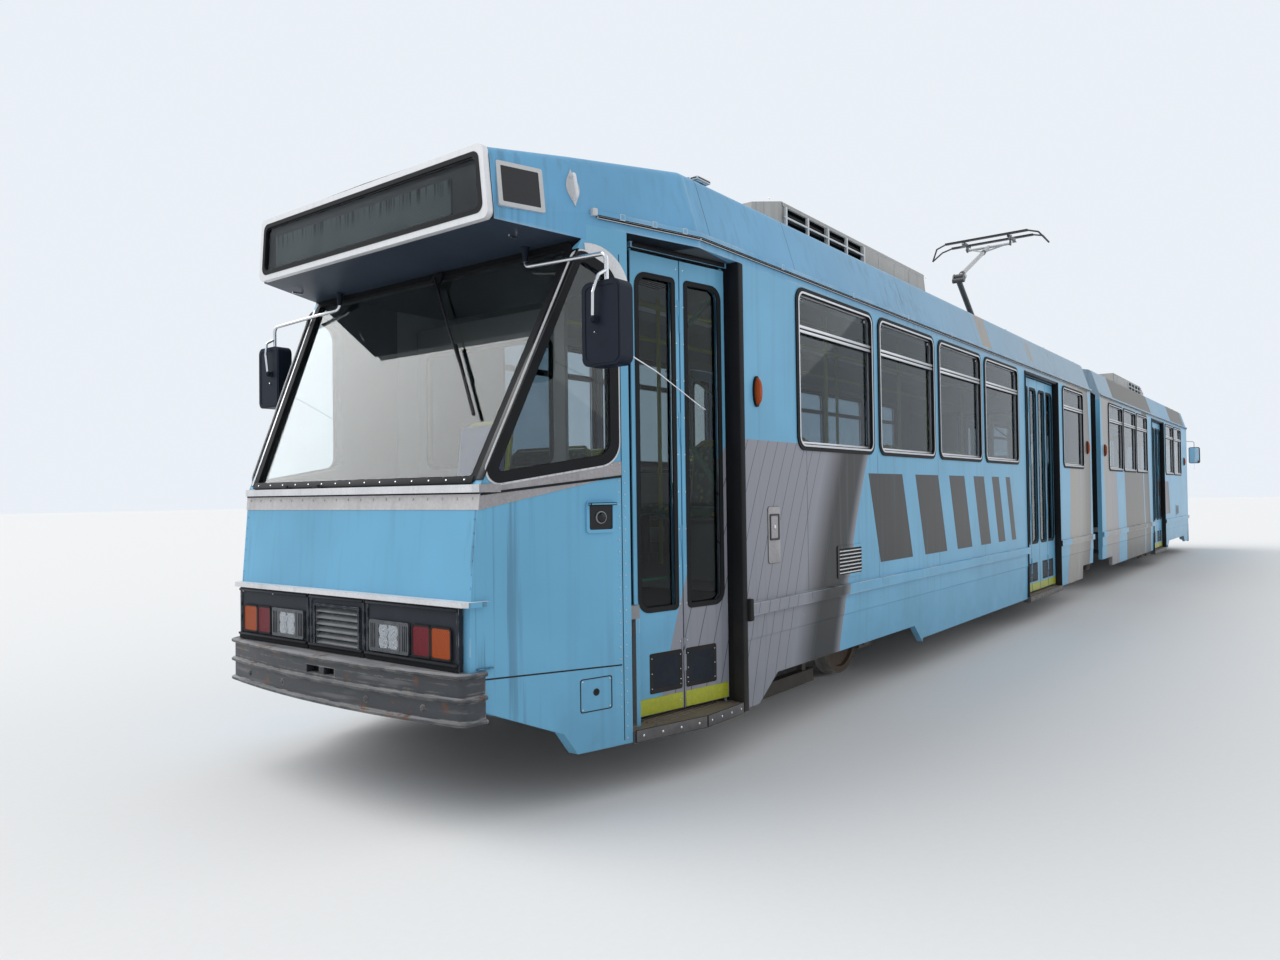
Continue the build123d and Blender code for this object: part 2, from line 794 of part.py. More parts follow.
def make_grab_rails():
    """Poles from floor to ceiling with a rail beside them along each side of the aisle."""
    rail_y = pole_y + 2 * pole_radius + seat_gap
    solids = [rod((pole_stations[0] - 150, rail_y, rail_height), (pole_stations[-1] + 50, rail_y, rail_height),
                  pole_radius)]
    for x in pole_stations:
        solids.append(rod((x, pole_y, floor_top + seat_gap), (x, pole_y, ceiling_height - seat_gap),
                          pole_radius))
    return Compound(solids + [side_flip(solid, -1) for solid in solids])


def make_cab_fittings():
    """Driver's desk, seat and the partition behind the driver."""
    base = floor_top + seat_gap
    desk_rear, desk_front = half_length - 805, half_length - 335
    desk = across([(desk_rear, base), (desk_rear, floor_top + 490), (desk_rear + 190, floor_top + 530),
                   (desk_front, floor_top + 570), (desk_front, base)], -850, 850)
    seat_rear = half_length - 1315
    seat_left, seat_right = -80, -560
    seat_z = floor_top + 410
    seat = block(seat_rear, seat_rear + 460, seat_right, seat_left, seat_z, seat_z + 100)
    column = block(seat_rear + 120, seat_rear + 340, seat_right + 140, seat_left - 140, base, seat_z)
    heel = seat_rear - seat_gap
    back = across([(heel, seat_z), (heel - 100, seat_z + 680), (heel - 170, seat_z + 680),
                   (heel - 80, seat_z)], seat_right, seat_left)
    wall_x = half_length - 1695
    partition = block(wall_x, wall_x + 30, 10 - side_inner, 180, base, cantrail_bottom - 120)
    partition -= block(wall_x - 10, wall_x + 40, 125 - side_inner, 60, floor_top + 790,
                       cantrail_bottom - 320)
    return Compound([desk, seat, column, back, partition])


# Doors
def leaf_panel(width, outer_edge):
    """One door leaf from x = 0 to its width, its outer face on y = 0, and the pane in its window.

    The window's corners are rounded on the side of the outer edge, the one away from the fold.
    """
    leaf = block(0, width, -leaf_thick, 0, leaf_bottom, leaf_top)

    def opening(margin):
        x0, x1 = leaf_frame + margin, width - leaf_frame - margin
        z0, z1 = leaf_window_bottom + margin, leaf_window_top - margin
        points = [(x0, z0), (x1, z0), (x1, z1), (x0, z1)]
        radii = [leaf_corner if x == (x0 if outer_edge == 0 else x1) else 8 for x, _ in points]
        return rounded(points, radii)
    leaf -= extrude(side_view(1) * opening(0), leaf_thick + 2)
    pane = extrude(side_view(3 - leaf_thick / 2) * opening(seat_gap), glass_thick)
    x0, x1 = (95, width - leaf_panel_inset) if outer_edge == 0 else (leaf_panel_inset, width - 95)
    leaf -= block(x0, x1, -leaf_panel_recess, 1, leaf_panel_bottom, leaf_panel_top)
    return leaf, pane


def knuckles(x, phase):
    """Hinge knuckles on the fold line that belong to one leaf, and the strap that carries each."""
    solid = None
    rise = (leaf_top - leaf_bottom - 600) / (knuckle_count - 1)
    way = -1 if phase == 0 else 1
    for index in range(knuckle_count):
        z = leaf_bottom + 200 + index * rise + phase * (knuckle_height + seat_gap)
        barrel = Pos(x, fold_clearance, z) * extrude(Circle(knuckle_radius), knuckle_height)
        x0, x1 = sorted((x + way * 3, x + way * (leaf_gap / 2 + 12)))
        barrel += block(x0, x1, -1, fold_clearance - 1, z, z + knuckle_height)
        solid = barrel if solid is None else solid + barrel
    return solid


def leaf_pair(run):
    """Two leaves side by side along x from a post at x = 0 towards x = run."""
    width = (run - post_gap - leaf_gap * 1.5) / 2
    first, first_pane = leaf_panel(width, 0)
    second, second_pane = leaf_panel(width, width)
    after = post_gap + width + leaf_gap
    knuckle = Vector(post_gap + width + leaf_gap / 2, fold_clearance, 0)
    pivot = Vector(post_gap + pivot_inset, -leaf_thick / 2, 0)
    guide_x = 2 * knuckle.X - pivot.X
    first = Pos(post_gap, 0, 0) * first
    second = Pos(after, 0, 0) * second
    for z0, z1 in ((step_low + seat_gap, leaf_bottom), (leaf_top, door_head - seat_gap)):
        first += Pos(pivot.X, pivot.Y, z0) * extrude(Circle(pin_radius), z1 - z0)
    second += Pos(guide_x, pivot.Y, leaf_top) * extrude(Circle(pin_radius), door_head - seat_gap - leaf_top)
    first += knuckles(knuckle.X, 0)
    second += knuckles(knuckle.X, 1)
    return [Compound([first, Pos(post_gap, 0, 0) * first_pane]),
            Compound([second, Pos(after, 0, 0) * second_pane])], pivot, knuckle


def door_sets():
    """Every leaf of one section with the places of its hinges."""
    leaves = {}
    hinges = {}
    for name, side, rear, front in doorways:
        pair, pivot, knuckle = leaf_pair(door_width / 2)
        outer = half_width - leaf_recess
        for end, label, way in ((rear, "a", 1), (front, "b", -1)):
            for index, leaf in enumerate(pair):
                shape = leaf if way == 1 else mirror(leaf, about=Plane.YZ)
                leaves[f"{name}_leaf_{label}{index + 1}"] = side_flip(Pos(end, outer, 0) * shape, side)
            for point, part in ((pivot, "post"), (knuckle, "fold")):
                hinges[f"{name}_{label}_{part}"] = (end + way * point.X, side * (outer + point.Y))
    slope = Plane(origin=(entry_rear, entry_rear_y, 0), x_dir=(entry_run, -entry_drop, 0), z_dir=(0, 0, 1))
    pair, pivot, knuckle = leaf_pair(entry_length)
    for index, leaf in enumerate(pair):
        leaves[f"entry_leaf_{index + 1}"] = slope.location * leaf
    for point, part in ((pivot, "post"), (knuckle, "fold")):
        spot = slope.from_local_coords(point)
        hinges[f"entry_{part}"] = (spot.X, spot.Y)
    return leaves, hinges


# Running gear
def turned_about_y(points):
    """Solid of revolution about Y from (radius, y) points."""
    return revolve(make_face(Polyline(*points, close=True)), axis=Axis.Y)


def make_wheelset():
    """Axle with journals, two flanged wheels with dished webs, and a brake disc."""
    face = wheel_back + tyre_width
    hub_end = wheel_back + hub_length
    axle = turned_about_y([(0, -journal_end), (journal_radius, -journal_end), (journal_radius, -hub_end - 30),
                           (axle_radius, -hub_end - 30), (axle_radius, hub_end + 30),
                           (journal_radius, hub_end + 30), (journal_radius, journal_end), (0, journal_end)])
    wheel = turned_about_y([
        (axle_radius, wheel_back - 12), (hub_radius, wheel_back - 12), (hub_radius + 6, wheel_back + 34),
        (tyre_inner_radius, wheel_back + 46), (tyre_inner_radius, wheel_back),
        (flange_radius - 8, wheel_back), (flange_radius, wheel_back + 10), (flange_radius - 2, wheel_back + 18),
        (wheel_radius + 6, wheel_back + 30), (wheel_radius + 2, wheel_back + 38), (wheel_radius, face - 6),
        (wheel_radius - 5, face), (tyre_inner_radius + 8, face), (tyre_inner_radius, face - 26),
        (hub_radius + 10, wheel_back + 58), (hub_radius, hub_end), (axle_radius, hub_end)])
    disc = turned_about_y([(axle_radius, disc_inner), (disc_radius, disc_inner),
                           (disc_radius, disc_inner + disc_thick), (axle_radius, disc_inner + disc_thick)])
    return Compound([axle, wheel, mirror(wheel, about=Plane.XZ), disc])


def make_bogie(pivot_top):
    """Frame with cranked side beams, axle boxes, drive block, centre pivot and track brakes."""
    beam_end = wheelbase_half + 230
    beam = across([(-beam_end, 400), (-beam_end, 520), (-700, 580), (700, 580), (beam_end, 520),
                   (beam_end, 400), (760, 400), (560, 330), (-560, 330), (-760, 400)],
                  frame_y - beam_half_width, frame_y + beam_half_width)
    cheek = beam_half_width + 20
    for x in (-wheelbase_half, wheelbase_half):
        beam += block(x - axle_box_half, x + axle_box_half, frame_y - cheek, frame_y + cheek,
                      wheel_radius - 100, 430)
        beam -= pin_across(x, wheel_radius, frame_y - cheek - 1, frame_y + cheek + 1,
                           journal_radius + journal_clearance)
    frame = beam + mirror(beam, about=Plane.XZ)
    inner = frame_y - beam_half_width
    frame += block(-330, 330, -inner, inner, 420, 560)
    frame += block(-430, 430, -340, 340, 210, 500)
    frame += Pos(0, 0, 550) * extrude(Circle(pivot_radius), pivot_top - 550)
    for y in (-brake_y, brake_y):
        frame += block(-430, 430, y - 35, y + 35, 14, 110)
        for x in (-300, 300):
            frame += block(x - 30, x + 30, y - 20, y + 20, 105, 430)
    return frame


# Pantograph
def insulator(x, y, foot, top):
    """Ribbed insulator standing on the roof."""
    height = top - foot
    core = insulator_radius - 15
    sheds = 4
    points = [(0, 0), (insulator_radius, 0), (insulator_radius, 20)]
    pitch = (height - 40) / sheds
    for index in range(sheds):
        z = 20 + index * pitch
        points += [(core, z + pitch * 0.25), (core, z + pitch * 0.5), (insulator_radius, z + pitch * 0.75),
                   (insulator_radius, z + pitch * 0.9)]
    points += [(core, height), (0, height)]
    outline = Plane.XZ * make_face(Polyline(*points, close=True))
    return Pos(x, y, foot) * revolve(outline, axis=Axis.Z)


def make_pan_base():
    """Base frame on four insulators with the lower pivot's bearings."""
    x, z = pan_base
    rail_half = 30
    top, bottom = z - 55, z - 105
    solids = []
    frame = None
    for side in (1, -1):
        y = side * bearing_y
        bar = block(x - 750, x + 750, y - rail_half, y + rail_half, bottom, top)
        bar += block(x - 45, x + 45, y - 15, y + 15, top, z + 45)
        bar -= pin_across(x, z, y - 16, y + 16, lower_tube - 8 + journal_clearance)
        frame = bar if frame is None else frame + bar
        for dx in (-650, 650):
            foot = roof_at(bearing_y - insulator_radius) + seat_gap
            solids.append(insulator(x + dx, y, foot, bottom))
    for end in (x - 700, x + 640):
        frame += block(end, end + 60, -bearing_y, bearing_y, bottom, top)
    return Compound([frame] + solids)


def elbow():
    """Point where the lower tube ends, below the knee hinge, square to the arm."""
    (x0, z0), (x1, z1) = pan_base, pan_knee
    run = math.hypot(x1 - x0, z1 - z0)
    lean = math.asin(elbow_offset / run)
    angle = math.atan2(z1 - z0, x1 - x0) - lean
    length = run * math.cos(lean)
    return x0 + length * math.cos(angle), z0 + length * math.sin(angle)


def make_pan_lower():
    """Lower arm: torsion tube, main tube, and an elbow fork that holds the knee pin above it."""
    x0, z0 = pan_base
    x1, z1 = pan_knee
    ex, ez = elbow()
    arm = pin_across(x0, z0, -bearing_y - 30, bearing_y + 30, lower_tube - 8)
    arm += rod((x0, 0, z0), (ex, 0, ez), lower_tube)
    arm += pin_across(ex, ez, -ear_far, ear_far, lower_tube - 4)
    along = Vector(x1 - ex, 0, z1 - ez).normalized() * 30
    side = Vector(-along.Z, 0, along.X)
    for y in (-ear_far, ear_near):
        corners = [(ex + side.X, ez + side.Z), (x1 + side.X + along.X, z1 + side.Z + along.Z),
                   (x1 - side.X + along.X, z1 - side.Z + along.Z), (ex - side.X, ez - side.Z)]
        arm += across(corners, y, y + ear_far - ear_near)
    return arm + pin_across(x1, z1, -ear_far, ear_far, pan_pin)


def make_pan_upper():
    """Upper arm: knee boss, single tube with a stay on each side, and the cross tube of the head."""
    (x0, z0), (x1, z1) = pan_knee, pan_head
    boss_half = ear_near - 5
    arm = rod((x0, 0, z0), (x1, 0, z1), upper_tube)
    arm += pin_across(x0, z0, -boss_half, boss_half, elbow_boss)
    arm += pin_across(x1, z1, -hanger_y - 15, hanger_y + 15, 18)
    stay_x, stay_z = x1 + (x0 - x1) * 0.18, z1 + (z0 - z1) * 0.18
    for side in (1, -1):
        arm += rod((stay_x, 0, stay_z), (x1, side * (hanger_y - 60), z1), 11)
    return arm - pin_across(x0, z0, -boss_half - 1, boss_half + 1, pan_pin + journal_clearance)


def make_pan_head():
    """Two contact strips that end in horns joined at their tips, on hangers from the cross tube."""
    x, z = pan_head
    bend_y, bend_z = bow_half + 140, pan_bow - 60
    head = None
    for side in (1, -1):
        tip = (x, side * horn_reach, pan_bow - horn_drop)
        for dx in (-strip_spread, strip_spread):
            knee = (x + dx * 0.85, side * bend_y, bend_z)
            horn = rod((x + dx, side * (bow_half - 10), pan_bow - 14), knee, 12) + rod(knee, tip, 12)
            head = horn if head is None else head + horn
    for dx in (-strip_spread, strip_spread):
        head += block(x + dx - 20, x + dx + 20, -bow_half, bow_half, pan_bow - 30, pan_bow)
    for side in (1, -1):
        y = side * hanger_y
        head += block(x - strip_spread, x + strip_spread, y - 8, y + 8, pan_bow - 60, pan_bow - 25)
        hanger = block(x - 26, x + 26, y - 8, y + 8, z - 26, pan_bow - 30)
        head += hanger
        head -= pin_across(x, z, y - 9, y + 9, 18 + journal_clearance)
    return head


# Bellows
bellows_half = 1215
bellows_top = cantrail_bottom - 30
bellows_depth = 110
bellows_folds = 9
bellows_dip = 48


def make_bellows():
    """Folded tube between the end frames."""
    pitch = 2 * (section_end - seat_gap) / bellows_folds
    tube = None
    for index in range(bellows_folds):
        dip = bellows_dip * (index % 2)
        half, top = bellows_half - dip, bellows_top - dip
        outer = [(half, floor_top + 2), (half, top), (-half, top), (-half, floor_top + 2)]
        inner_half, inner_top = half - bellows_depth, top - bellows_depth
        inner = [(inner_half, floor_top), (inner_half, inner_top), (-inner_half, inner_top),
                 (-inner_half, floor_top)]
        x0 = seat_gap - section_end + index * pitch
        ring = extrude(section_face(x0, outer) - section_face(x0, inner), pitch)
        tube = ring if tube is None else tube + ring
    return tube


def place(shape):
    """Lifts a piece from rail-top heights to heights above the wheel flanges."""
    return Pos(0, 0, flange_depth) * shape


def turned(shape):
    """The matching piece of the rear section."""
    return Rot(0, 0, 180) * shape


def build():
    nodes = {}
    shared = {
        "side_left": make_side(1),
        "side_right": make_side(-1),
        "roof": make_roof(),
        "cab": make_cab(),
        "window_frames": make_window_frames(),
        "glazing": make_glazing(),
        "bumper": make_bumper(),
        "lamps": make_lamps(),
        "mirrors": make_mirrors(),
        "seats": make_seats(),
        "grab_rails": make_grab_rails(),
        "cab_fittings": make_cab_fittings(),
    }
    shared.update(door_sets()[0])
    for name, shape in shared.items():
        nodes[f"front_{name}"] = shape
        nodes[f"rear_{name}"] = turned(shape)
    nodes["front_floor"] = make_floor(True)
    nodes["rear_floor"] = turned(make_floor(False))
    wheelset = make_wheelset()
    bogie = make_bogie(floor_low - seat_gap)
    for name, x in (("front", bogie_station), ("middle", 0), ("rear", -bogie_station)):
        nodes[f"{name}_bogie_frame"] = Pos(x, 0, 0) * bogie
        for index, dx in enumerate((wheelbase_half, -wheelbase_half)):
            nodes[f"{name}_wheelset_{index + 1}"] = Pos(x + dx, 0, wheel_radius) * wheelset
    nodes["pantograph_base"] = make_pan_base()
    nodes["pantograph_lower_arm"] = make_pan_lower()
    nodes["pantograph_upper_arm"] = make_pan_upper()
    nodes["pantograph_head"] = make_pan_head()
    nodes["bellows"] = make_bellows()
    return {name: place(shape) for name, shape in nodes.items()}


os.makedirs("parts", exist_ok=True)
for node, piece in build().items():
    export_step(piece, f"parts/{node}.step")
for hinge, spot in door_sets()[1].items():
    print("hinge", hinge, round(spot[0], 3), round(spot[1], 3))
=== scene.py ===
import json
from collections import namedtuple
from math import atan2, copysign, cos, exp, hypot, pi, radians, sin, tan

import bmesh
import bpy
from bpy.props import FloatProperty, FloatVectorProperty, PointerProperty
from mathutils import Matrix, Vector
from mathutils.bvhtree import BVHTree

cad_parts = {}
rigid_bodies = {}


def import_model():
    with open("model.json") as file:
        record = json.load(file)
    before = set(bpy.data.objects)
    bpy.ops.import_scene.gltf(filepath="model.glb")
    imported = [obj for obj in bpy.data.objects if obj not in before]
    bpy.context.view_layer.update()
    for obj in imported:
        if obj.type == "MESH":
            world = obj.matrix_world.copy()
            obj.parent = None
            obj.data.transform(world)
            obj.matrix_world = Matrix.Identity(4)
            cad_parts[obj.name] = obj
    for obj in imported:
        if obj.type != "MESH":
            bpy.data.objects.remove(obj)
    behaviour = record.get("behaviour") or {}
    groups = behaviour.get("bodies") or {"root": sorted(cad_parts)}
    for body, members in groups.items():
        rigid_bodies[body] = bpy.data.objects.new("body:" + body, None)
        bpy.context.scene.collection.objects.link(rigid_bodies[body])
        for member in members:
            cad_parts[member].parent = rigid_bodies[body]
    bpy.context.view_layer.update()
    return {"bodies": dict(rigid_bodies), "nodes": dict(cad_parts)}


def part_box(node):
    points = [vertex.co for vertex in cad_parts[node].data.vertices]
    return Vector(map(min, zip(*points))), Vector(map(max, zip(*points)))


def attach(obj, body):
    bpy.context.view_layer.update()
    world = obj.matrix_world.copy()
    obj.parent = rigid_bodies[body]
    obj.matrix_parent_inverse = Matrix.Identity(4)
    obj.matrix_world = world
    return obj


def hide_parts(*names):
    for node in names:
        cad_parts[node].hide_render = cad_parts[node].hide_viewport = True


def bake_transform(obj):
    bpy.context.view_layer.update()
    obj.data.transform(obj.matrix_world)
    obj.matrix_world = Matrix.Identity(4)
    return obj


bl_info = {
    "name": "Articulated tram finish",
    "version": (1, 0, 0),
    "blender": (4, 5, 0),
    "location": "View3D > Sidebar > Tram",
    "description": "Trim, fittings and finishes for a two-section articulated tram",
    "category": "Object",
}

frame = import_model()

# Metres. Heights are above the rail top, and Piece.mesh() lifts each piece by the flange depth.
RAIL = 0.022
HALF_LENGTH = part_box("front_bumper")[1].x
HALF_WIDTH = 1.335
BELT = 1.530
GUTTER = 2.880
CANTRAIL = 2.820
BEND_X = 10.325
SILL_X = 11.615
CORNER_HALF = 0.985
SCREEN_TOP_X = 11.070
SCREEN_TOP = 2.740
APRON_X = 11.665
APRON_FOOT = 1.000
LEAF_FOOT = 0.310
LEAF_HEAD = 2.775
STEP_LOW = 0.285
FLOOR_TOP = 0.910
X, Y, UP = (1, 0, 0), (0, 1, 0), (0, 0, 1)
SECTIONS = ("front", "rear")
SHARP_EDGE = radians(32)

# Lowest and highest height of what runs along the body
RUB_RAIL = (0.763, 0.850)
BELT_LEDGE = (1.5005, 1.5395)
APRON_LEDGE = (0.987, 1.0125)

# Doorways of the front section: name, foot of the line of leaves, direction along it, outward direction,
# width of a leaf
DOOR_LINES = [
    ("entry_leaf_", (9.930, 1.256), (0.98305, -0.18333), (0.18333, 0.98305), 0.3569),
    ("left_mid_leaf_a", (2.269, 1.273), (1, 0), (0, 1), 0.3620),
    ("left_mid_leaf_b", (3.795, 1.273), (-1, 0), (0, 1), 0.3620),
    ("right_mid_leaf_a", (5.140, -1.273), (1, 0), (0, -1), 0.3620),
    ("right_mid_leaf_b", (6.666, -1.273), (-1, 0), (0, -1), 0.3620),
]
ENTRY_REAR = DOOR_LINES[0][1][0]
POST_GAP = 0.024
LEAF_GAP = 0.010

# Side doorways: side, rear end, front end
SIDE_DOORWAYS = [(1, 2.269, 3.795), (-1, 5.140, 6.666)]


# Sizes and colours that a user would change
def colour(name, description, value):
    return FloatVectorProperty(name=name, description=description, subtype="COLOR", size=3, min=0, max=1,
                               default=value)


def number(name, description, value, **settings):
    return FloatProperty(name=name, description=description, default=value, **settings)


def length(name, description, value):
    return number(name, description, value, subtype="DISTANCE", unit="LENGTH", min=0)


def angle(name, description, degrees):
    return number(name, description, radians(degrees), subtype="ANGLE")


class TramColours(bpy.types.PropertyGroup):
    body: colour("Body", "Paint of the sides, doors and cab", (0.150, 0.400, 0.600))
    fascia: colour("Fascia", "Sun-bleached paint of the roof and its edge", (0.140, 0.370, 0.590))
    silver: colour("Silver", "Light grey of the printed bands", (0.262, 0.268, 0.305))
    graphite: colour("Graphite", "Dark grey of the printed bands", (0.034, 0.034, 0.034))
    beige: colour("Beige", "Warm light grey of the printed bands", (0.330, 0.305, 0.275))
    taupe: colour("Taupe", "Brown grey of the printed bands", (0.115, 0.102, 0.086))
    trim: colour("Trim", "Off-white of ledges and the destination frame", (0.720, 0.725, 0.745))
    kicker: colour("Kicker", "Warning strip at the foot of the doors", (0.370, 0.400, 0.012))
    moquette: colour("Moquette", "Ground colour of the seats", (0.020, 0.130, 0.085))
    poles: colour("Poles", "Grab poles and rails", (0.560, 0.560, 0.030))


class TramSizes(bpy.types.PropertyGroup):
    window_trim: length("Window trim", "Width of the bright strip round a window", 0.013)
    gasket: length("Gasket", "Width of the rubber round door panes", 0.020)
    bolt: length("Bolt", "Radius of the exposed bolt heads", 0.0065)
    rivet: length("Rivet", "Radius of the rivets of the cab side", 0.0042)
    kicker_height: length("Kicker height", "Height of the strip at the foot of a leaf", 0.088)


class TramStage(bpy.types.PropertyGroup):
    camera_place: FloatVectorProperty(name="Camera place", description="Where the camera stands", size=3,
                                      subtype="TRANSLATION", unit="LENGTH", default=(14.402, 4.036, 1.502))
    lens: number("Lens", "Focal length on a 36 mm wide sensor", 25.352, unit="CAMERA")
    yaw: angle("Yaw", "Heading of the view, from straight back", 37.496)
    pitch: angle("Pitch", "Tilt of the view above the horizon", 0.957)
    roll: angle("Roll", "Turn of the view about its own axis", -0.758)
    sky: number("Sky", "Strength of the all-round light", 0.72)
    sun: number("Sun", "Strength of the soft main light", 1.9)
    floor_tone: number("Floor tone", "Brightness of the floor", 0.74)


# Shader graphs
class Graph:
    """Adds nodes to a shader tree and feeds their sockets."""

    def __init__(self, tree):
        self.tree = tree

    def fill(self, node, feeds):
        """Links or sets a node's inputs, each named by number or by name with underscores for spaces."""
        for name, value in feeds.items():
            socket = node.inputs[name if isinstance(name, int) else name.replace("_", " ")]
            if isinstance(value, bpy.types.NodeSocket):
                self.tree.links.new(value, socket)
            elif socket.type == "RGBA" and len(value) == 3:
                socket.default_value = (*value, 1)
            else:
                socket.default_value = value
        return node

    def node(self, kind, feeds=None, **settings):
        made = self.tree.nodes.new(kind if kind.startswith("NodeGroup") else f"ShaderNode{kind}")
        for name, value in settings.items():
            setattr(made, name, value)
        return self.fill(made, feeds or {})

    def math(self, operation, first, second=0.0):
        return self.node("Math", {0: first, 1: second}, operation=operation).outputs[0]

    def times(self, first, *others):
        for other in others:
            first = self.math("MULTIPLY", first, other)
        return first

    def mix(self, share, first, second):
        return self.node("Mix", {0: share, 6: first, 7: second}, data_type="RGBA").outputs[2]

    def step(self, value, low, high, first=0.0, last=1.0):
        """Value carried from the range low..high to first..last, held at its ends."""
        return self.node("MapRange", {0: value, 1: low, 2: high, 3: first, 4: last}).outputs[0]

    def unit(self, value):
        """Share from 0 to 1 of a value between -1 and 1."""
        return self.step(value, -1.0, 1.0)

    def noise(self, position, scale, detail=2.0, stretch=None):
        if stretch:
            position = self.node("Mapping", {"Vector": position, "Scale": stretch}).outputs[0]
        return self.node("TexNoise", {"Vector": position, "Scale": scale, "Detail": detail}).outputs[0]

    def parts(self, vector):
        return self.node("SeparateXYZ", {0: vector}).outputs

    def normal(self):
        return self.node("NewGeometry").outputs["Normal"]

    def bump(self, height, strength, distance=0.002):
        return self.node("Bump", {"Strength": strength, "Distance": distance, "Height": height}).outputs[0]

    def group(self, name, **feeds):
        return self.fill(self.node("Group", node_tree=effect(name)), feeds).outputs


def weathering(g, entry):
    """Rain streaks, dust that settles low down, and broad fading."""
    place = entry["Position"]
    patch = g.step(g.noise(place, 0.9, 3), 0.38, 0.66)
    lines = g.step(g.noise(place, 1.0, 3, stretch=(26, 26, 0.55)), 0.50, 0.78)
    low = g.step(g.parts(place)[2], entry["Dust height"], 0.25)
    speck = g.step(g.noise(place, 7.0, 5), 0.30, 0.70, 0.35, 1.0)
    return {"Streak": g.times(lines, patch, entry["Streaks"]), "Dust": g.times(low, speck, entry["Dust"]),
            "Fade": g.step(g.noise(place, 1.7, 2), 0.30, 0.70, -1.0, 1.0)}


def edge_wear_and_highlight(g, entry):
    """Rubbed and chipped edges, from the bend of the surface within a radius; on the fascia the same mask
    gives painted highlights.
    """
    smooth = g.node("Bevel", {"Radius": entry["Radius"]}, samples=4).outputs[0]
    bend = g.node("VectorMath", {0: smooth, 1: g.normal()}, operation="DOT_PRODUCT").outputs["Value"]
    edge = g.step(g.math("SUBTRACT", 1.0, bend), 0.02, 0.16)
    chip = g.step(g.noise(entry["Position"], entry["Scale"], 6), 0.42, 0.60)
    return {"Wear": g.times(edge, chip, entry["Amount"])}


def grain(g, entry):
    """Fine surface texture with a slow drift of tone."""
    fine = g.noise(entry["Position"], entry["Scale"], 4)
    slow = g.noise(entry["Position"], g.times(entry["Scale"], 0.06), 2)
    tone = g.math("ADD", g.times(fine, 0.5), g.times(slow, 0.5))
    return {"Height": fine, "Tone": g.step(tone, 0.32, 0.68, -1.0, 1.0)}


def panel_seam(g, entry):
    """Narrow dark line where a coordinate passes a place."""
    away = g.math("ABSOLUTE", g.math("SUBTRACT", entry["Coordinate"], entry["Place"]))
    return {"Line": g.step(away, entry["Half width"], g.times(entry["Half width"], 0.4))}


def printed_band(g, entry):
    """Slanted printed band on the side: where it lies, how far across it a point is, and its pinstripes."""
    x, _, z = g.parts(entry["Position"])
    lean = g.math("ADD", g.times(z, entry["Slant"]), g.times(z, z, entry["Bow"]))
    along = g.math("SUBTRACT", g.math("SUBTRACT", x, lean), entry["Centre"])
    away = g.math("SUBTRACT", entry["Half width"], g.math("ABSOLUTE", along))
    below = g.step(z, entry["High"], g.math("SUBTRACT", entry["High"], 0.004))
    above = g.step(z, entry["Low"], g.math("ADD", entry["Low"], 0.004))
    wave = g.math("ABSOLUTE", g.math("SINE", g.times(along, 26.0)))
    return {"Mask": g.times(g.step(away, -0.002, 0.002), g.times(below, above)),
            "Across": g.step(along, g.times(entry["Half width"], -1.0), entry["Half width"]),
            "Pinstripe": g.step(wave, 0.10, 0.05)}


# Shared effects: what builds each, and its inputs with their defaults, None for a position
EFFECTS = {
    "Weathering": (weathering, {"Position": None, "Streaks": 0.3, "Dust": 0.3, "Dust height": 1.1}),
    "Edge wear": (edge_wear_and_highlight, {"Position": None, "Radius": 0.006, "Scale": 18.0, "Amount": 0.5}),
    "Grain": (grain, {"Position": None, "Scale": 60.0}),
    "Panel seam": (panel_seam, {"Coordinate": 0.0, "Place": 0.0, "Half width": 0.004}),
    "Printed band": (printed_band, {"Position": None, "Centre": 0.0, "Half width": 0.3, "Slant": 0.2,
                                    "Bow": 0.0, "Low": 0.0, "High": 4.0}),
}


def effect(name):
    """Node group of a shared effect with its named sockets, made once."""
    if name in bpy.data.node_groups:
        return bpy.data.node_groups[name]
    build, inputs = EFFECTS[name]
    tree = bpy.data.node_groups.new(name, "ShaderNodeTree")
    for label, value in inputs.items():
        kind = "NodeSocketVector" if value is None else "NodeSocketFloat"
        socket = tree.interface.new_socket(label, in_out="INPUT", socket_type=kind)
        if value is not None:
            socket.default_value = value
    g = Graph(tree)
    results = build(g, g.node("NodeGroupInput").outputs)
    for label in results:
        tree.interface.new_socket(label, in_out="OUTPUT", socket_type="NodeSocketFloat")
    g.fill(g.node("NodeGroupOutput"), results)
    return tree


def make_material(name, build, *values):
    """Material whose Principled shader is fed with what its finish function gives."""
    made = bpy.data.materials.new(name)
    made.use_nodes = True
    g = Graph(made.node_tree)
    place = g.node("TexCoord").outputs["Object"]
    g.fill(made.node_tree.nodes["Principled BSDF"], build(g, place, *values))
    return made


def shaded(tone, share, lift=0.0):
    """Colour multiplied by a share."""
    return tuple(min(1, c * share + lift) for c in tone)


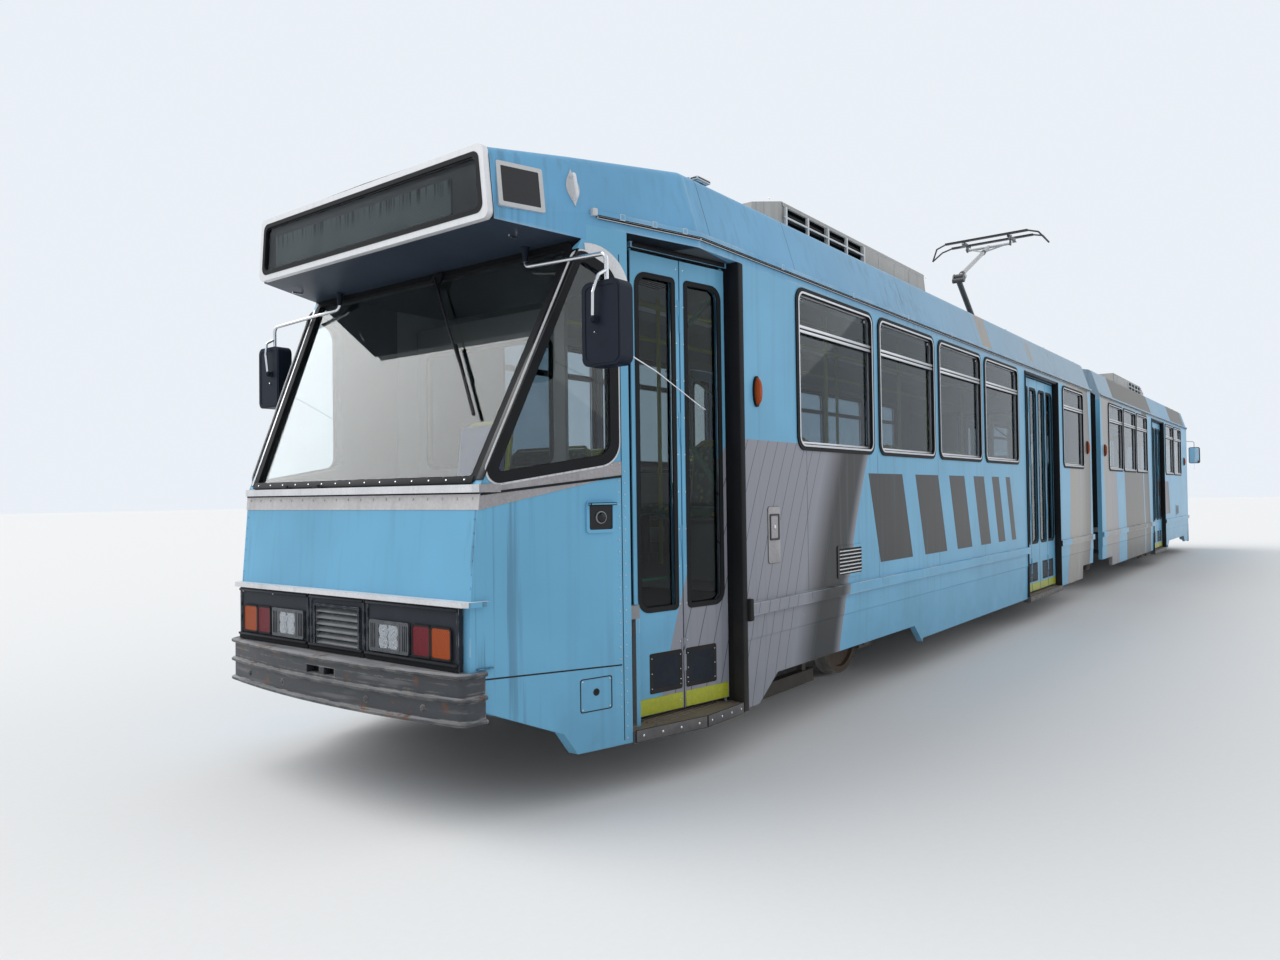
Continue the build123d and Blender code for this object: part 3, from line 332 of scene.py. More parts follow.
# Plain finishes: colour, roughness, metallic, coat, grain scale, grain strength, drift of tone, dust, streaks,
# edge wear, colour or grey of worn edges
PLAIN_FINISHES = {
    "aluminium": ((.52, .53, .55), .34, 1, 0, 220, .10, .08, .15, .25, 0, .7),
    "bright_steel": ((.66, .67, .69), .20, 1, 0, 160, .05, .05, 0, .1, 0, .7),
    "lamp_reflector": ((.40, .42, .46), .09, 1, 0, 90, .05, .08, 0, 0, 0, .5),
    "rubber": ((.012, .013, .015), .58, 0, 0, 180, .20, .25, .25, .3, 0, .05),
    "black_gloss": ((.010, .011, .014), .22, 0, 0, 60, .03, .20, .1, .2, 0, .1),
    "black_paint": ((.014, .015, .018), .45, 0, 0, 120, .12, .20, .2, .3, .25, .12),
    "visor_navy": ((.034, .050, .078), .45, 0, 0, 50, .10, .25, 0, .4, .1, (.06, .08, .10)),
    "white_frame": ((.66, .67, .70), .38, 0, .2, 80, .06, .06, 0, .5, .25, (.35, .36, .37)),
    "ledge_white": ((.58, .59, .61), .45, 0, 0, 90, .12, .12, 0, .7, .55, (.30, .29, .27)),
    "almond": ((.50, .51, .52), .40, 0, .1, 90, .08, .08, 0, .4, .2, .3),
    # Paler copy of the grey band, for the apron: painted sunlight on the front of the strip
    "riveted_strip": ((.50, .48, .48), .42, 0, .1, 60, .10, .14, 0, 1, .4, (.30, .28, .27)),
    "grey_band": ((.30, .29, .30), .42, 0, .1, 70, .10, .20, 0, .9, .3, (.45, .45, .46)),
    "lamp_slate": ((.022, .027, .036), .42, 0, 0, 110, .12, .25, .1, .3, .85, (.36, .37, .38)),
    "lamp_bezel": ((.060, .068, .078), .38, .3, .1, 90, .10, .12, .1, .1, .5, .4),
    "louvre_slat": ((.150, .158, .170), .45, .2, 0, 90, .10, .15, .1, .1, .6, .45),
    "grey_bezel": ((.22, .23, .24), .35, .3, .1, 90, .06, .10, .1, .1, .3, .4),
    "kicker": ((.33, .37, .008), .42, 0, .1, 60, .15, .18, .12, .5, .8, (.06, .06, .05)),
    "worn_nosing": ((.085, .085, .092), .50, .3, 0, 30, .45, .45, .4, .3, .7, (.26, .22, .16)),
    "tread": ((.150, .118, .085), .70, 0, 0, 40, .55, .35, .5, .1, .4, (.30, .28, .25)),
    "dark_pane": ((.010, .015, .026), .45, 0, 0, 40, .05, .30, .1, .4, 0, .1),
    "vinyl_floor": ((.070, .075, .082), .55, 0, .1, 130, .15, .35, 0, 0, 0, .1),
    "lining": ((.30, .31, .30), .50, 0, 0, 120, .12, .06, 0, 0, 0, .5),
    "cab_lining": ((.085, .090, .095), .60, 0, 0, 160, .25, .12, 0, 0, 0, .2),
    "housing": ((.33, .32, .305), .50, 0, .1, 60, .10, .15, 0, .9, .3, .4),
    "grille": ((.012, .012, .014), .60, 0, 0, 90, .15, .20, 0, .2, .2, .1),
    "roof_white": ((.60, .61, .62), .45, 0, .1, 60, .08, .10, 0, .6, .3, .35),
    "pan_dark": ((.060, .062, .066), .42, .3, .1, 90, .12, .20, 0, .2, .4, .28),
    "pan_light": ((.42, .43, .44), .35, .2, .1, 90, .10, .12, 0, .3, .4, .16),
    "carbon": ((.030, .030, .032), .35, .4, 0, 60, .15, .35, 0, 0, .6, (.30, .24, .18)),
    "insulator": ((.22, .085, .045), .22, 0, .5, 70, .05, .15, 0, .5, 0, .3),
    "underframe": ((.045, .043, .042), .72, 0, 0, 50, .35, .40, .6, .3, .3, (.14, .10, .07)),
    "bogie_iron": ((.050, .044, .038), .75, .1, 0, 45, .50, .45, .7, .2, .3, (.16, .11, .08)),
    "wheel_web": ((.105, .070, .048), .70, .4, 0, 50, .45, .45, .4, .2, .2, (.25, .2, .16)),
    "wheel_tread": ((.46, .44, .42), .24, 1, 0, 120, .10, .20, 0, 0, 0, .5),
    "moulded_black": ((.011, .016, .028), .48, 0, 0, 240, .30, .15, .1, .2, .1, .08),
    "mirror_glass": ((.80, .82, .84), .02, 1, 0, 20, 0, .02, 0, .1, 0, .8),
    "seat_shell": ((.14, .15, .16), .45, 0, .1, 160, .15, .12, 0, 0, .2, .3),
    "green_pole": ((.015, .190, .105), .32, 0, .4, 60, .05, .08, 0, 0, .1, .3),
    "lime_pole": ((.56, .56, .03), .34, 0, .4, 60, .05, .06, 0, 0, .15, .4),
    "lime_shell": ((.50, .55, .03), .40, 0, .2, 120, .12, .08, 0, 0, .1, .4),
    "diffuser": ((.80, .80, .76), .40, 0, 0, 60, .02, .03, 0, 0, 0, .8),
}


def plain_finish(g, place, base, rough, metallic, coat, scale, strength, drift, dust, streaks, wear, worn):
    """Weathered finish from one row of the table."""
    texture = g.group("Grain", Position=place, Scale=scale)
    weather = g.group("Weathering", Position=place, Streaks=streaks, Dust=dust)
    tone = g.mix(g.unit(texture["Tone"]), shaded(base, 1 - drift), shaded(base, 1 + drift))
    tone = g.mix(g.times(weather["Streak"], 0.55), tone, shaded(base, .35, .01))
    tone = g.mix(weather["Dust"], tone, (.135, .118, .098))
    if wear:
        edge = g.group("Edge wear", Position=place, Radius=0.005, Scale=22.0, Amount=wear)
        tone = g.mix(edge["Wear"], tone, worn if isinstance(worn, tuple) else (worn,) * 3)
    shine = g.step(texture["Tone"], -1.0, 1.0, rough - .06, rough + .06)
    feeds = {"Base Color": tone, "Roughness": g.math("MAXIMUM", shine, g.times(weather["Dust"], 0.8)),
             "Metallic": metallic, "Coat Weight": coat, "Coat Roughness": 0.15}
    if max(base) < 0.07 and not metallic:
        feeds["Specular IOR Level"] = 0.12 if rough > 0.4 else 0.30
    if strength:
        feeds["Normal"] = g.bump(texture["Height"], strength, 0.0006)
    return feeds


# Printed bands of each section's sides: section, centre at the wheels' foot, half width, slant and bow of its
# run per metre of height, lowest and highest height, colour at the rear edge, colour at the front edge,
# strength of its pinstripes
PRINTED_BANDS = [
    ("front", 9.98, 0.58, -0.16, -0.10, 0.0, 1.80, "silver", "silver", 0.85),
    ("front", 9.26, 0.14, -0.16, -0.10, 0.0, 1.80, "graphite", "silver", 0.0),
    ("front", 8.97, 0.15, -0.16, -0.10, 0.0, 1.80, "graphite", "graphite", 0.0),
    ("front", 8.77, 0.05, -0.16, -0.10, 0.0, 1.80, "silver", "graphite", 0.0),
    *[("front", centre, half, 0.30, 0.0, 0.95, 1.62, "graphite", "graphite", 0.0) for centre, half in (
        (7.30, 0.33), (6.42, 0.27), (5.66, 0.21), (5.02, 0.16), (4.48, 0.12), (4.04, 0.08))],
    ("front", 1.66, 0.30, -0.34, 0.10, 0.0, 2.86, "beige", "beige", 0.0),
    ("front", 1.02, 0.32, -0.34, 0.10, 0.0, 2.86, "taupe", "beige", 0.0),
    ("front", 5.10, 0.16, 0.0, 0.0, 2.90, 3.30, "beige", "beige", 0.0),
    ("front", 3.36, 0.07, 0.0, 0.0, 2.97, 3.19, "beige", "beige", 0.0),
    ("rear", -3.30, 1.90, 0.0, 0.0, 2.90, 3.30, "taupe", "taupe", 0.0),
    ("rear", -8.90, 1.10, 0.0, 0.0, 2.90, 3.30, "taupe", "taupe", 0.0),
    ("rear", -1.25, 0.50, 0.12, 0.0, 0.0, 2.86, "silver", "beige", 0.0),
    ("rear", -3.35, 0.92, 0.12, 0.0, 0.0, 1.78, "taupe", "taupe", 0.0),
    ("rear", -4.62, 0.28, 0.12, 0.0, 0.0, 2.86, "graphite", "taupe", 0.0),
    ("rear", -7.20, 0.50, 0.30, 0.0, 0.95, 1.62, "graphite", "silver", 0.0),
]

# Upright seams of the side sheeting: lowest height, highest height, stations as distances from the
# articulation
SEAM_ROWS = [
    (0.80, 1.76, (9.10, 7.95, 6.64, 5.34, 2.16, 0.72)),
    (2.90, 3.28, (10.20, 9.20, 7.30, 5.40, 3.50, 1.60)),
]


def painted_side(g, place, car, base, bleached):
    """Body paint with its printed bands, sheeting seams, rain streaks and road dust; at the full bleach share
    also a painted sheen and painted edge highlights.
    """
    colours = bpy.context.scene.tram_colours
    x, y, z = g.parts(place)
    along = g.math("ABSOLUTE", x)
    weather = g.group("Weathering", Position=place, Streaks=0.42 + 0.4 * bleached, Dust=0.20, Dust_height=1.0)
    tone = g.mix(g.unit(weather["Fade"]), shaded(base, .92), shaded(base, 1.07))
    # At the full share: paler towards the articulation, a painted sheen of light glancing off the far fascia
    if bleached == 1.0:
        tone = g.mix(g.step(along, 9.6, 3.0, 0.0, 0.80), tone, (.300, .385, .455))
    for section, centre, half, slant, bow, low, high, rear_tone, front_tone, stripes in PRINTED_BANDS:
        if section == car:
            band = g.group("Printed band", Position=place, Centre=centre, Half_width=half, Slant=slant,
                           Bow=bow, Low=low + RAIL, High=high + RAIL)
            ink = g.mix(band["Across"], getattr(colours, rear_tone), getattr(colours, front_tone))
            if stripes:
                ink = g.mix(g.times(band["Pinstripe"], stripes), ink, (.05, .05, .06))
            tone = g.mix(band["Mask"], tone, ink)
    seams = None
    for low, high, stations in SEAM_ROWS:
        between = g.times(g.step(z, low + RAIL - .002, low + RAIL), g.step(z, high + RAIL, high + RAIL - .002))
        for station in stations:
            seam = g.group("Panel seam", Coordinate=along, Place=station, Half_width=0.0035)
            line = g.times(seam["Line"], between)
            seams = line if seams is None else g.math("MAXIMUM", seams, line)
    corner = g.times(g.step(along, 11.25, 11.58), g.step(g.math("ABSOLUTE", y), .90, .985))
    wash = g.times(g.step(g.noise(place, 24.0, 4, stretch=(1, 1, .03)), .50, .62), corner)
    tone = g.mix(g.times(wash, 0.55), tone, (.045, .060, .085))
    grime = g.mix(0.5, shaded(base, .45), (.12, .11, .10))
    tone = g.mix(g.times(weather["Streak"], 0.8), tone, grime)
    tone = g.mix(weather["Dust"], tone, (.070, .085, .100))
    tone = g.mix(g.times(seams, 0.85), tone, (.012, .016, .022))
    # At the full share the edge mask paints highlights along the fascia's edges; otherwise it marks pale chips
    # on the rub rails
    if bleached == 1.0:
        edge = g.group("Edge wear", Position=place, Radius=0.030, Scale=3.0, Amount=0.55)
        tone = g.mix(edge["Wear"], tone, (.50, .60, .66))
    else:
        edge = g.group("Edge wear", Position=place, Radius=0.014, Scale=2.4, Amount=0.85)
        low, high = [height + RAIL for height in RUB_RAIL]
        rail = g.times(g.step(z, low, low + .004), g.step(z, high, high - .004))
        tone = g.mix(g.times(edge["Wear"], rail), tone, (.52, .57, .62))
    ripple = g.noise(place, 2.6, 2, stretch=(1, 1, 0.6))
    height = g.math("SUBTRACT", ripple, g.times(seams, 0.5))
    return {"Base Color": tone, "Coat Weight": 0.05, "Coat Roughness": 0.12, "Specular IOR Level": 0.16,
            "Roughness": g.math("ADD", g.times(weather["Dust"], 0.35), 0.30 + 0.12 * bleached),
            "Normal": g.bump(height, 0.35, 0.004)}


def bumper_finish(g, place):
    """Dull grey paint, chipped to pale metal on the ribs' edges, with rust below the chips."""
    texture = g.group("Grain", Position=place, Scale=55.0)
    wear = g.group("Edge wear", Position=place, Radius=0.011, Scale=13.0, Amount=0.95)["Wear"]
    scuff = g.step(g.noise(place, 9.0, 8, stretch=(1, 0.25, 3)), 0.56, 0.66)
    rust = g.times(g.step(g.noise(place, 11.0, 6), 0.60, 0.68), 0.85)
    # Faces that point up are paler grey, in streaks
    upward_tone = g.mix(g.step(g.noise(place, 5.0, 6, stretch=(6, 0.5, 1)), 0.30, 0.70), (.110, .116, .128),
                   (.310, .312, .325))
    tone = g.mix(g.unit(texture["Tone"]), (.024, .028, .035), (.046, .050, .058))
    tone = g.mix(g.step(g.parts(g.normal())[2], 0.8, 0.95), tone, upward_tone)
    tone = g.mix(g.times(scuff, 0.4), tone, (.190, .190, .200))
    tone = g.mix(rust, tone, (.110, .045, .022))
    return {"Base Color": g.mix(wear, tone, (.36, .34, .31)),
            "Roughness": g.step(texture["Tone"], -1.0, 1.0, 0.40, 0.62),
            "Normal": g.bump(g.math("SUBTRACT", texture["Height"], g.times(wear, 0.6)), 0.35, 0.001)}


def lens_finish(g, place, tint):
    """Moulded lamp lens with upright ribs and crossing steps."""
    _, y, z = g.parts(place)
    cells = g.times(g.math("SINE", g.times(y, 520.0)), g.math("SINE", g.times(z, 416.0)))
    tone = g.mix(g.unit(cells), shaded(tint, .6), shaded(tint, 1.3, .005))
    grime = g.group("Weathering", Position=place, Streaks=0.5, Dust=0.12)
    return {"Base Color": g.mix(grime["Dust"], tone, (.13, .12, .11)),
            "Roughness": g.step(cells, -1.0, 1.0, 0.10, 0.22), "Specular IOR Level": 0.15,
            "Normal": g.bump(cells, 0.5, 0.0015)}


def glass_finish(g, place, tint, bend=1.22):
    """Tinted pane with a thin film of dust on it."""
    film = g.step(g.noise(place, 3.0, 5), 0.35, 0.75, 0.0, 0.10)
    return {"Base Color": g.mix(film, tint, shaded(tint, .6)), "Transmission Weight": 1.0, "IOR": bend,
            "Roughness": g.step(g.noise(place, 5.0, 4), 0.4, 0.8, 0.005, 0.03)}


def display_finish(g, place):
    """Blind behind the destination glass: fine level weave with blotches and drips from the top."""
    _, y, z = g.parts(place)
    weave, wave = g.math("SINE", g.times(z, 900.0)), g.math("SINE", g.times(y, 420.0))
    thread = g.math("ADD", g.times(weave, 0.7), g.times(wave, 0.3))
    tone = g.mix(g.unit(thread), (.115, .140, .140), (.185, .215, .205))
    tone = g.mix(g.times(g.step(g.noise(place, 4.0, 3), 0.45, 0.62), 0.35), tone, (.080, .098, .105))
    drips = g.times(g.step(g.noise(place, 1.0, 2, stretch=(1, 46, 1.5)), 0.48, 0.60), g.step(z, 2.95, 3.02))
    return {"Base Color": g.mix(drips, tone, (.015, .018, .022)), "Roughness": 0.7,
            "Normal": g.bump(thread, 0.4, 0.001)}


def moquette_finish(g, place, ground, dotted=1.0):
    """Woven seat cloth, plain or with scattered dots of lighter green, teal and ochre."""
    cells = g.node("TexVoronoi", {"Vector": place, "Scale": 26.0}, feature="F1").outputs
    pick = g.node("SeparateColor", {0: cells["Color"]}).outputs
    blob = g.step(cells["Distance"], 0.46, 0.42)
    tone = tuple(ground)
    for index, least, dot in ((0, .52, (.060, .330, .110)), (1, .74, (.020, .230, .240)),
                              (2, .84, (.420, .380, .050))):
        tone = g.mix(g.times(blob, g.step(pick[index], least, least + .02), dotted), tone, dot)
    _, y, z = g.parts(place)
    pile = g.times(g.math("SINE", g.times(y, 1500.0)), g.math("SINE", g.times(z, 1500.0)))
    return {"Base Color": g.mix(g.step(pile, -1.0, 1.0, 0.0, 0.25), tone, (.0, .02, .02)), "Roughness": 0.85,
            "Sheen Weight": 0.3, "Normal": g.bump(pile, 0.3, 0.0008)}


def bellows_finish(g, place):
    """Rubberised cloth with a woven face and pale scuffs on the crests."""
    texture = g.group("Grain", Position=place, Scale=90.0)
    weather = g.group("Weathering", Position=place, Streaks=0.7, Dust=0.7, Dust_height=1.8)
    wear = g.group("Edge wear", Position=place, Radius=0.010, Scale=8.0, Amount=0.6)["Wear"]
    tone = g.mix(g.unit(texture["Tone"]), (.018, .019, .021), (.034, .035, .038))
    tone = g.mix(weather["Dust"], tone, (.10, .09, .08))
    return {"Base Color": g.mix(wear, tone, (.13, .13, .13)), "Roughness": 0.75,
            "Normal": g.bump(texture["Height"], 0.5, 0.001)}


# Finishes of their own: what builds each, and the values that it takes
SPECIAL_FINISHES = {
    "bumper_paint": (bumper_finish,),
    "red_lens": (lens_finish, (.140, .004, .012)),
    "amber_lens": (lens_finish, (.330, .052, .002)),
    "lamp_glass": (glass_finish, (.90, .92, .92), 1.35),
    "side_glass": (glass_finish, (.34, .42, .47)),
    "screen_glass": (glass_finish, (.74, .79, .80), 1.40),
    "door_glass": (glass_finish, (.42, .48, .49)),
    "display_glass": (glass_finish, (.62, .66, .68)),
    "display_blind": (display_finish,),
    "driver_cloth": (moquette_finish, (.030, .085, .330), 0.0),
    "bellows_cloth": (bellows_finish,),
}

# Body paints: the user's colour and the share of sun bleaching in it; at the full share the paint also gets a
# painted sheen towards the articulation and painted highlights along its edges
PAINTS = {"body_paint": ("body", 0.0), "fascia_paint": ("fascia", 1.0), "door_paint": ("body", 0.2)}

# Plain finishes in one of the user's colours, and the share of it that they show
TINTED = {"kicker": ("kicker", 1.0), "white_frame": ("trim", 1.0), "ledge_white": ("trim", .9),
          "lime_pole": ("poles", 1.0)}


def finish(name, car="front"):
    """The material of that name, made when it is first asked for."""
    colours = bpy.context.scene.tram_colours
    label = f"{name}_{car}" if name in PAINTS else name
    if label in bpy.data.materials:
        return bpy.data.materials[label]
    if name in PAINTS:
        paint, bleached = PAINTS[name]
        return make_material(label, painted_side, car, getattr(colours, paint), bleached)
    if name == "moquette":
        return make_material(name, moquette_finish, colours.moquette)
    if name in SPECIAL_FINISHES:
        return make_material(name, *SPECIAL_FINISHES[name])
    base, *others = PLAIN_FINISHES[name]
    if name in TINTED:
        paint, share = TINTED[name]
        base = shaded(getattr(colours, paint), share)
    return make_material(name, plain_finish, base, *others)


# Shapes
def surface(origin, along, out, up=UP):
    """Matrix from (along, up, out) distances on a surface to its place."""
    matrix = Matrix([Vector(direction).normalized() for direction in (along, up, out)]).transposed().to_4x4()
    matrix.translation = Vector(origin)
    return matrix


def side_surface(side, out=HALF_WIDTH):
    return surface((0, side * out, 0), X, (0, side, 0))


def forward(x, y=0, z=0):
    """Surface that faces forward, its along distance measured to the left."""
    return surface((x, y, z), Y, X)


def level(x, y, z):
    """Level surface that faces up."""
    return surface((x, y, z), X, UP, Y)


def at(on, u, v, w=0):
    """The surface with its origin moved along it."""
    return on @ Matrix.Translation((u, v, w))


TAPER_RUN = SILL_X - BEND_X
TAPER_DROP = HALF_WIDTH - CORNER_HALF
TAPER_COS = TAPER_RUN / hypot(TAPER_RUN, TAPER_DROP)


def taper_surface(side):
    """Tapered cab side, its along distance measured in x from the articulation."""
    matrix = surface((BEND_X, side * HALF_WIDTH, 0), (TAPER_RUN, -side * TAPER_DROP, 0),
                     (TAPER_DROP, side * TAPER_RUN, 0))
    stretch = Matrix.Diagonal((1 / TAPER_COS, 1, 1, 1))
    return matrix @ stretch @ Matrix.Translation((-BEND_X, 0, 0))


def taper_half(x):
    """Half-width of the tapered cab side at a station."""
    return HALF_WIDTH - (x - BEND_X) * TAPER_DROP / TAPER_RUN


SCREEN_LENGTH = hypot(SILL_X - SCREEN_TOP_X, SCREEN_TOP - BELT)
SCREEN = surface((SILL_X, 0, BELT), Y, (SCREEN_TOP - BELT, 0, SILL_X - SCREEN_TOP_X),
                 (SCREEN_TOP_X - SILL_X, 0, SCREEN_TOP - BELT))
APRON = surface((SILL_X, 0, BELT), Y, (BELT - APRON_FOOT, 0, APRON_X - SILL_X),
                (SILL_X - APRON_X, 0, BELT - APRON_FOOT))


def inset(corners, margin):
    """Outline with its edges moved in by the margin."""
    pairs = list(zip(corners, corners[1:] + corners[:1]))
    turn = copysign(1, sum(x0 * y1 - x1 * y0 for (x0, y0), (x1, y1) in pairs))
    lines = []
    for (x0, y0), (x1, y1) in pairs:
        run = hypot(x1 - x0, y1 - y0) * turn
        nx, ny = (y0 - y1) / run, (x1 - x0) / run
        lines.append((nx, ny, nx * x0 + ny * y0 + margin))
    moved = []
    for (a0, b0, c0), (a1, b1, c1) in zip(lines[-1:] + lines[:-1], lines):
        cross = a0 * b1 - a1 * b0
        moved.append(((c0 * b1 - c1 * b0) / cross, (a0 * c1 - a1 * c0) / cross))
    return moved


def arc_corner(before, corner, after, radius, steps):
    """Points of an arc that rounds a corner, in two or three dimensions."""
    one, two = (before - corner).normalized(), (after - corner).normalized()
    half = one.angle(two) / 2
    middle = corner + (one + two).normalized() * (radius / sin(half))
    reach = radius / tan(half)
    first, last = corner + one * reach - middle, corner + two * reach - middle
    sweep = first.angle(last)
    return [middle + (first * sin((1 - t / steps) * sweep) + last * sin(t / steps * sweep)) / sin(sweep)
            for t in range(steps + 1)]


def rounded(corners, radius, steps=6, margin=0.0):
    """Closed outline moved in by a margin, then with an arc at each corner, of one radius or of one each."""
    radii = radius if isinstance(radius, (list, tuple)) else [radius] * len(corners)
    spots = [Vector(c) for c in (inset(corners, margin) if margin else corners)]
    outline = []
    for index, size in enumerate(radii):
        after = spots[(index + 1) % len(spots)]
        outline += arc_corner(spots[index - 1], spots[index], after, max(size, 0.001), steps)
    return outline


def softened(points, radius, steps=4):
    """Open path with an arc at each inner corner."""
    spots = [Vector(p) for p in points]
    path = [spots[0]]
    for before, corner, after in zip(spots, spots[1:], spots[2:]):
        path += arc_corner(before, corner, after, radius, steps)
    return path + [spots[-1]]


def rectangle(u0, u1, v0, v1):
    return [(u0, v0), (u1, v0), (u1, v1), (u0, v1)]


def ellipse(wide, high, sides, centre=(0, 0)):
    turns = [2 * pi * k / sides for k in range(sides)]
    return [Vector((centre[0] + wide * cos(a), centre[1] + high * sin(a))) for a in turns]


def headings(path):
    """Direction of a path at each of its points."""
    return [(after - before).normalized() for before, after in zip(path[:1] + path, path[1:] + path[-1:])]


def helix(x, y, z, radius, turn, rise, count):
    """Points of an upright coil."""
    return [Vector((x + radius * cos(t * turn), y + radius * sin(t * turn), z + rise * t))
            for t in range(count)]


def spaced(first, step, count):
    return [first + step * k for k in range(count)]


class Piece:
    """Faces of one piece in the front section's place, each with its finish."""

    def __init__(self):
        self.bm = bmesh.new()
        self.finishes = []

    def faces(self, points, loops, look):
        if look not in self.finishes:
            self.finishes.append(look)
        verts = [self.bm.verts.new(p) for p in points]
        made = [self.bm.faces.new([verts[i] for i in loop]) for loop in loops]
        for face in made:
            face.material_index = self.finishes.index(look)
        return made

    def prism(self, outline, w0, w1, look, on, bevel=0.0):
        """Plate on an outline, from one distance out of the surface to another."""
        count = len(outline)
        points = [on @ Vector((p[0], p[1], w)) for w in (w0, w1) for p in outline]
        loops = [tuple(range(count)), tuple(range(2 * count - 1, count - 1, -1))]
        loops += [(i, (i + 1) % count, (i + 1) % count + count, i + count) for i in range(count)]
        made = self.faces(points, loops, look)
        if bevel:
            edges = {edge for face in made for edge in face.edges}
            bmesh.ops.bevel(self.bm, geom=list(edges), offset=bevel, segments=2, profile=0.5,
                            affect="EDGES", clamp_overlap=True)

    def plate(self, corners, margin, radius, w0, w1, look, on, steps=6, bevel=0.0):
        """Plate on corners that are moved in by a margin and rounded."""
        self.prism(rounded(corners, radius, steps, margin), w0, w1, look, on, bevel)

    def box(self, u0, u1, v0, v1, w0, w1, look, on=Matrix.Identity(4), bevel=0.0):
        self.prism(rectangle(u0, u1, v0, v1), w0, w1, look, on, bevel)

    def boxes(self, on, *rows):
        """Boxes on one surface, each row with its bounds, its finish and its bevel."""
        for *bounds, look, bevel in rows:
            self.box(*bounds, look, on, bevel)

    def rim(self, corners, outer, inner, w0, w1, look, on, steps=6):
        """Frame along corners. Outer and inner edge are each a margin inward and a corner radius."""
        lines = [rounded(corners, radius, steps, margin) for margin, radius in (outer, inner)]
        self.ring(*lines, w0, w1, look, on)

    def ring(self, outer, inner, w0, w1, look, on):
        """Frame between two outlines with as many points each."""
        count = len(outer)
        points = [on @ Vector((p[0], p[1], w)) for w in (w0, w1) for line in (outer, inner) for p in line]
        loops = []
        for i in range(count):
            a, b, c, d = range(i, 4 * count, count)
            e, f, g, h = range((i + 1) % count, 4 * count, count)
            loops += [(a, e, f, b), (c, d, h, g), (a, c, g, e), (b, f, h, d)]
        self.faces(points, loops, look)

    def lathe(self, profile, look, on, sides=16):
        """Solid of revolution about the surface's outward direction, from (radius, distance out) points."""
        points, rings = [], []
        for radius, out in profile:
            round_points = ellipse(radius, radius, sides) if radius else [Vector((0, 0))]
            rings.append([len(points) + k % len(round_points) for k in range(sides)])
            points += [on @ Vector((*p, out)) for p in round_points]
        loops = []
        for low, high in zip(rings, rings[1:]):
            for k in range(sides):
                loop = list(dict.fromkeys([low[k], low[(k + 1) % sides], high[(k + 1) % sides], high[k]]))
                if len(loop) > 2:
                    loops.append(loop)
        loops += [ring for ring in (rings[0], rings[-1]) if len(set(ring)) > 1]
        self.faces(points, loops, look)

    def tube(self, path, radius, look, sides=10):
        """Round bar along a path, its radius one number or one for each point."""
        path = [Vector(p) for p in path]
        radii = radius if isinstance(radius, (list, tuple)) else [radius] * len(path)
        tangents = headings(path)
        normal = tangents[0].orthogonal().normalized()
        points = []
        for spot, tangent, size in zip(path, tangents, radii):
            normal = (normal - tangent * normal.dot(tangent)).normalized()
            side = tangent.cross(normal)
            points += [spot + normal * u + side * v for u, v in ellipse(size, size, sides)]
        loops = [tuple(range(sides)), tuple(range(len(points) - 1, len(points) - 1 - sides, -1))]
        for base in range(0, (len(path) - 1) * sides, sides):
            loops += [(base + k, base + (k + 1) % sides, base + sides + (k + 1) % sides, base + sides + k)
                      for k in range(sides)]
        self.faces(points, loops, look)

    def bolts(self, us, vs, on, look="bright_steel", radius=None, w=0.0):
        """A bolt head at each crossing of the two rows of distances."""
        radius = radius or bpy.context.scene.tram_sizes.bolt
        head = [(radius * out, radius * up) for out, up in ((1, 0), (1, .45), (.7, .75), (0, .8))]
        for u in us:
            for v in vs:
                self.lathe(head, look, at(on, u, v, w), 8)

    def mesh(self, name, car="front"):
        """Mesh of the piece in a section's place: the rear one is turned half a turn."""
        copy = self.bm.copy()
        if car == "rear":
            bmesh.ops.transform(copy, matrix=Matrix.Rotation(pi, 4, "Z"), verts=copy.verts)
        bmesh.ops.translate(copy, vec=(0, 0, RAIL), verts=copy.verts)
        return smooth_mesh(copy, name, [finish(look, car) for look in self.finishes])


def smooth_mesh(bm, name, materials):
    bmesh.ops.recalc_face_normals(bm, faces=bm.faces)
    mesh = bpy.data.meshes.new(name)
    bm.to_mesh(mesh)
    bm.free()
    for material in materials:
        mesh.materials.append(material)
    mesh.shade_smooth()
    return mesh


def add_object(name, data):
    obj = bpy.data.objects.new(name, data)
    bpy.context.scene.collection.objects.link(obj)
    return obj


def emit(piece, name, body="car", cars=SECTIONS, replaced=()):
    """Makes the piece for each section and sets what it rides on. A piece of no one section has the car ""."""
    for car in cars:
        label = f"{car}_{name}" if car else name
        mesh = piece.mesh(label, car)
        mesh.set_sharp_from_angle(angle=SHARP_EDGE)
        obj = add_object(label, mesh)
        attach(obj, body if body in frame["bodies"] else f"{car}_{body}")
        if replaced:
            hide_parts(*[f"{car}_{node}" for node in replaced])
    piece.bm.free()


def turn_of(node):
    """Section of a node, and -1 where it was turned half a turn with the rear one."""
    car = "rear" if node.startswith("rear_") else "front"
    return car, -1 if car == "rear" and "bogie" not in node and "wheelset" not in node else 1


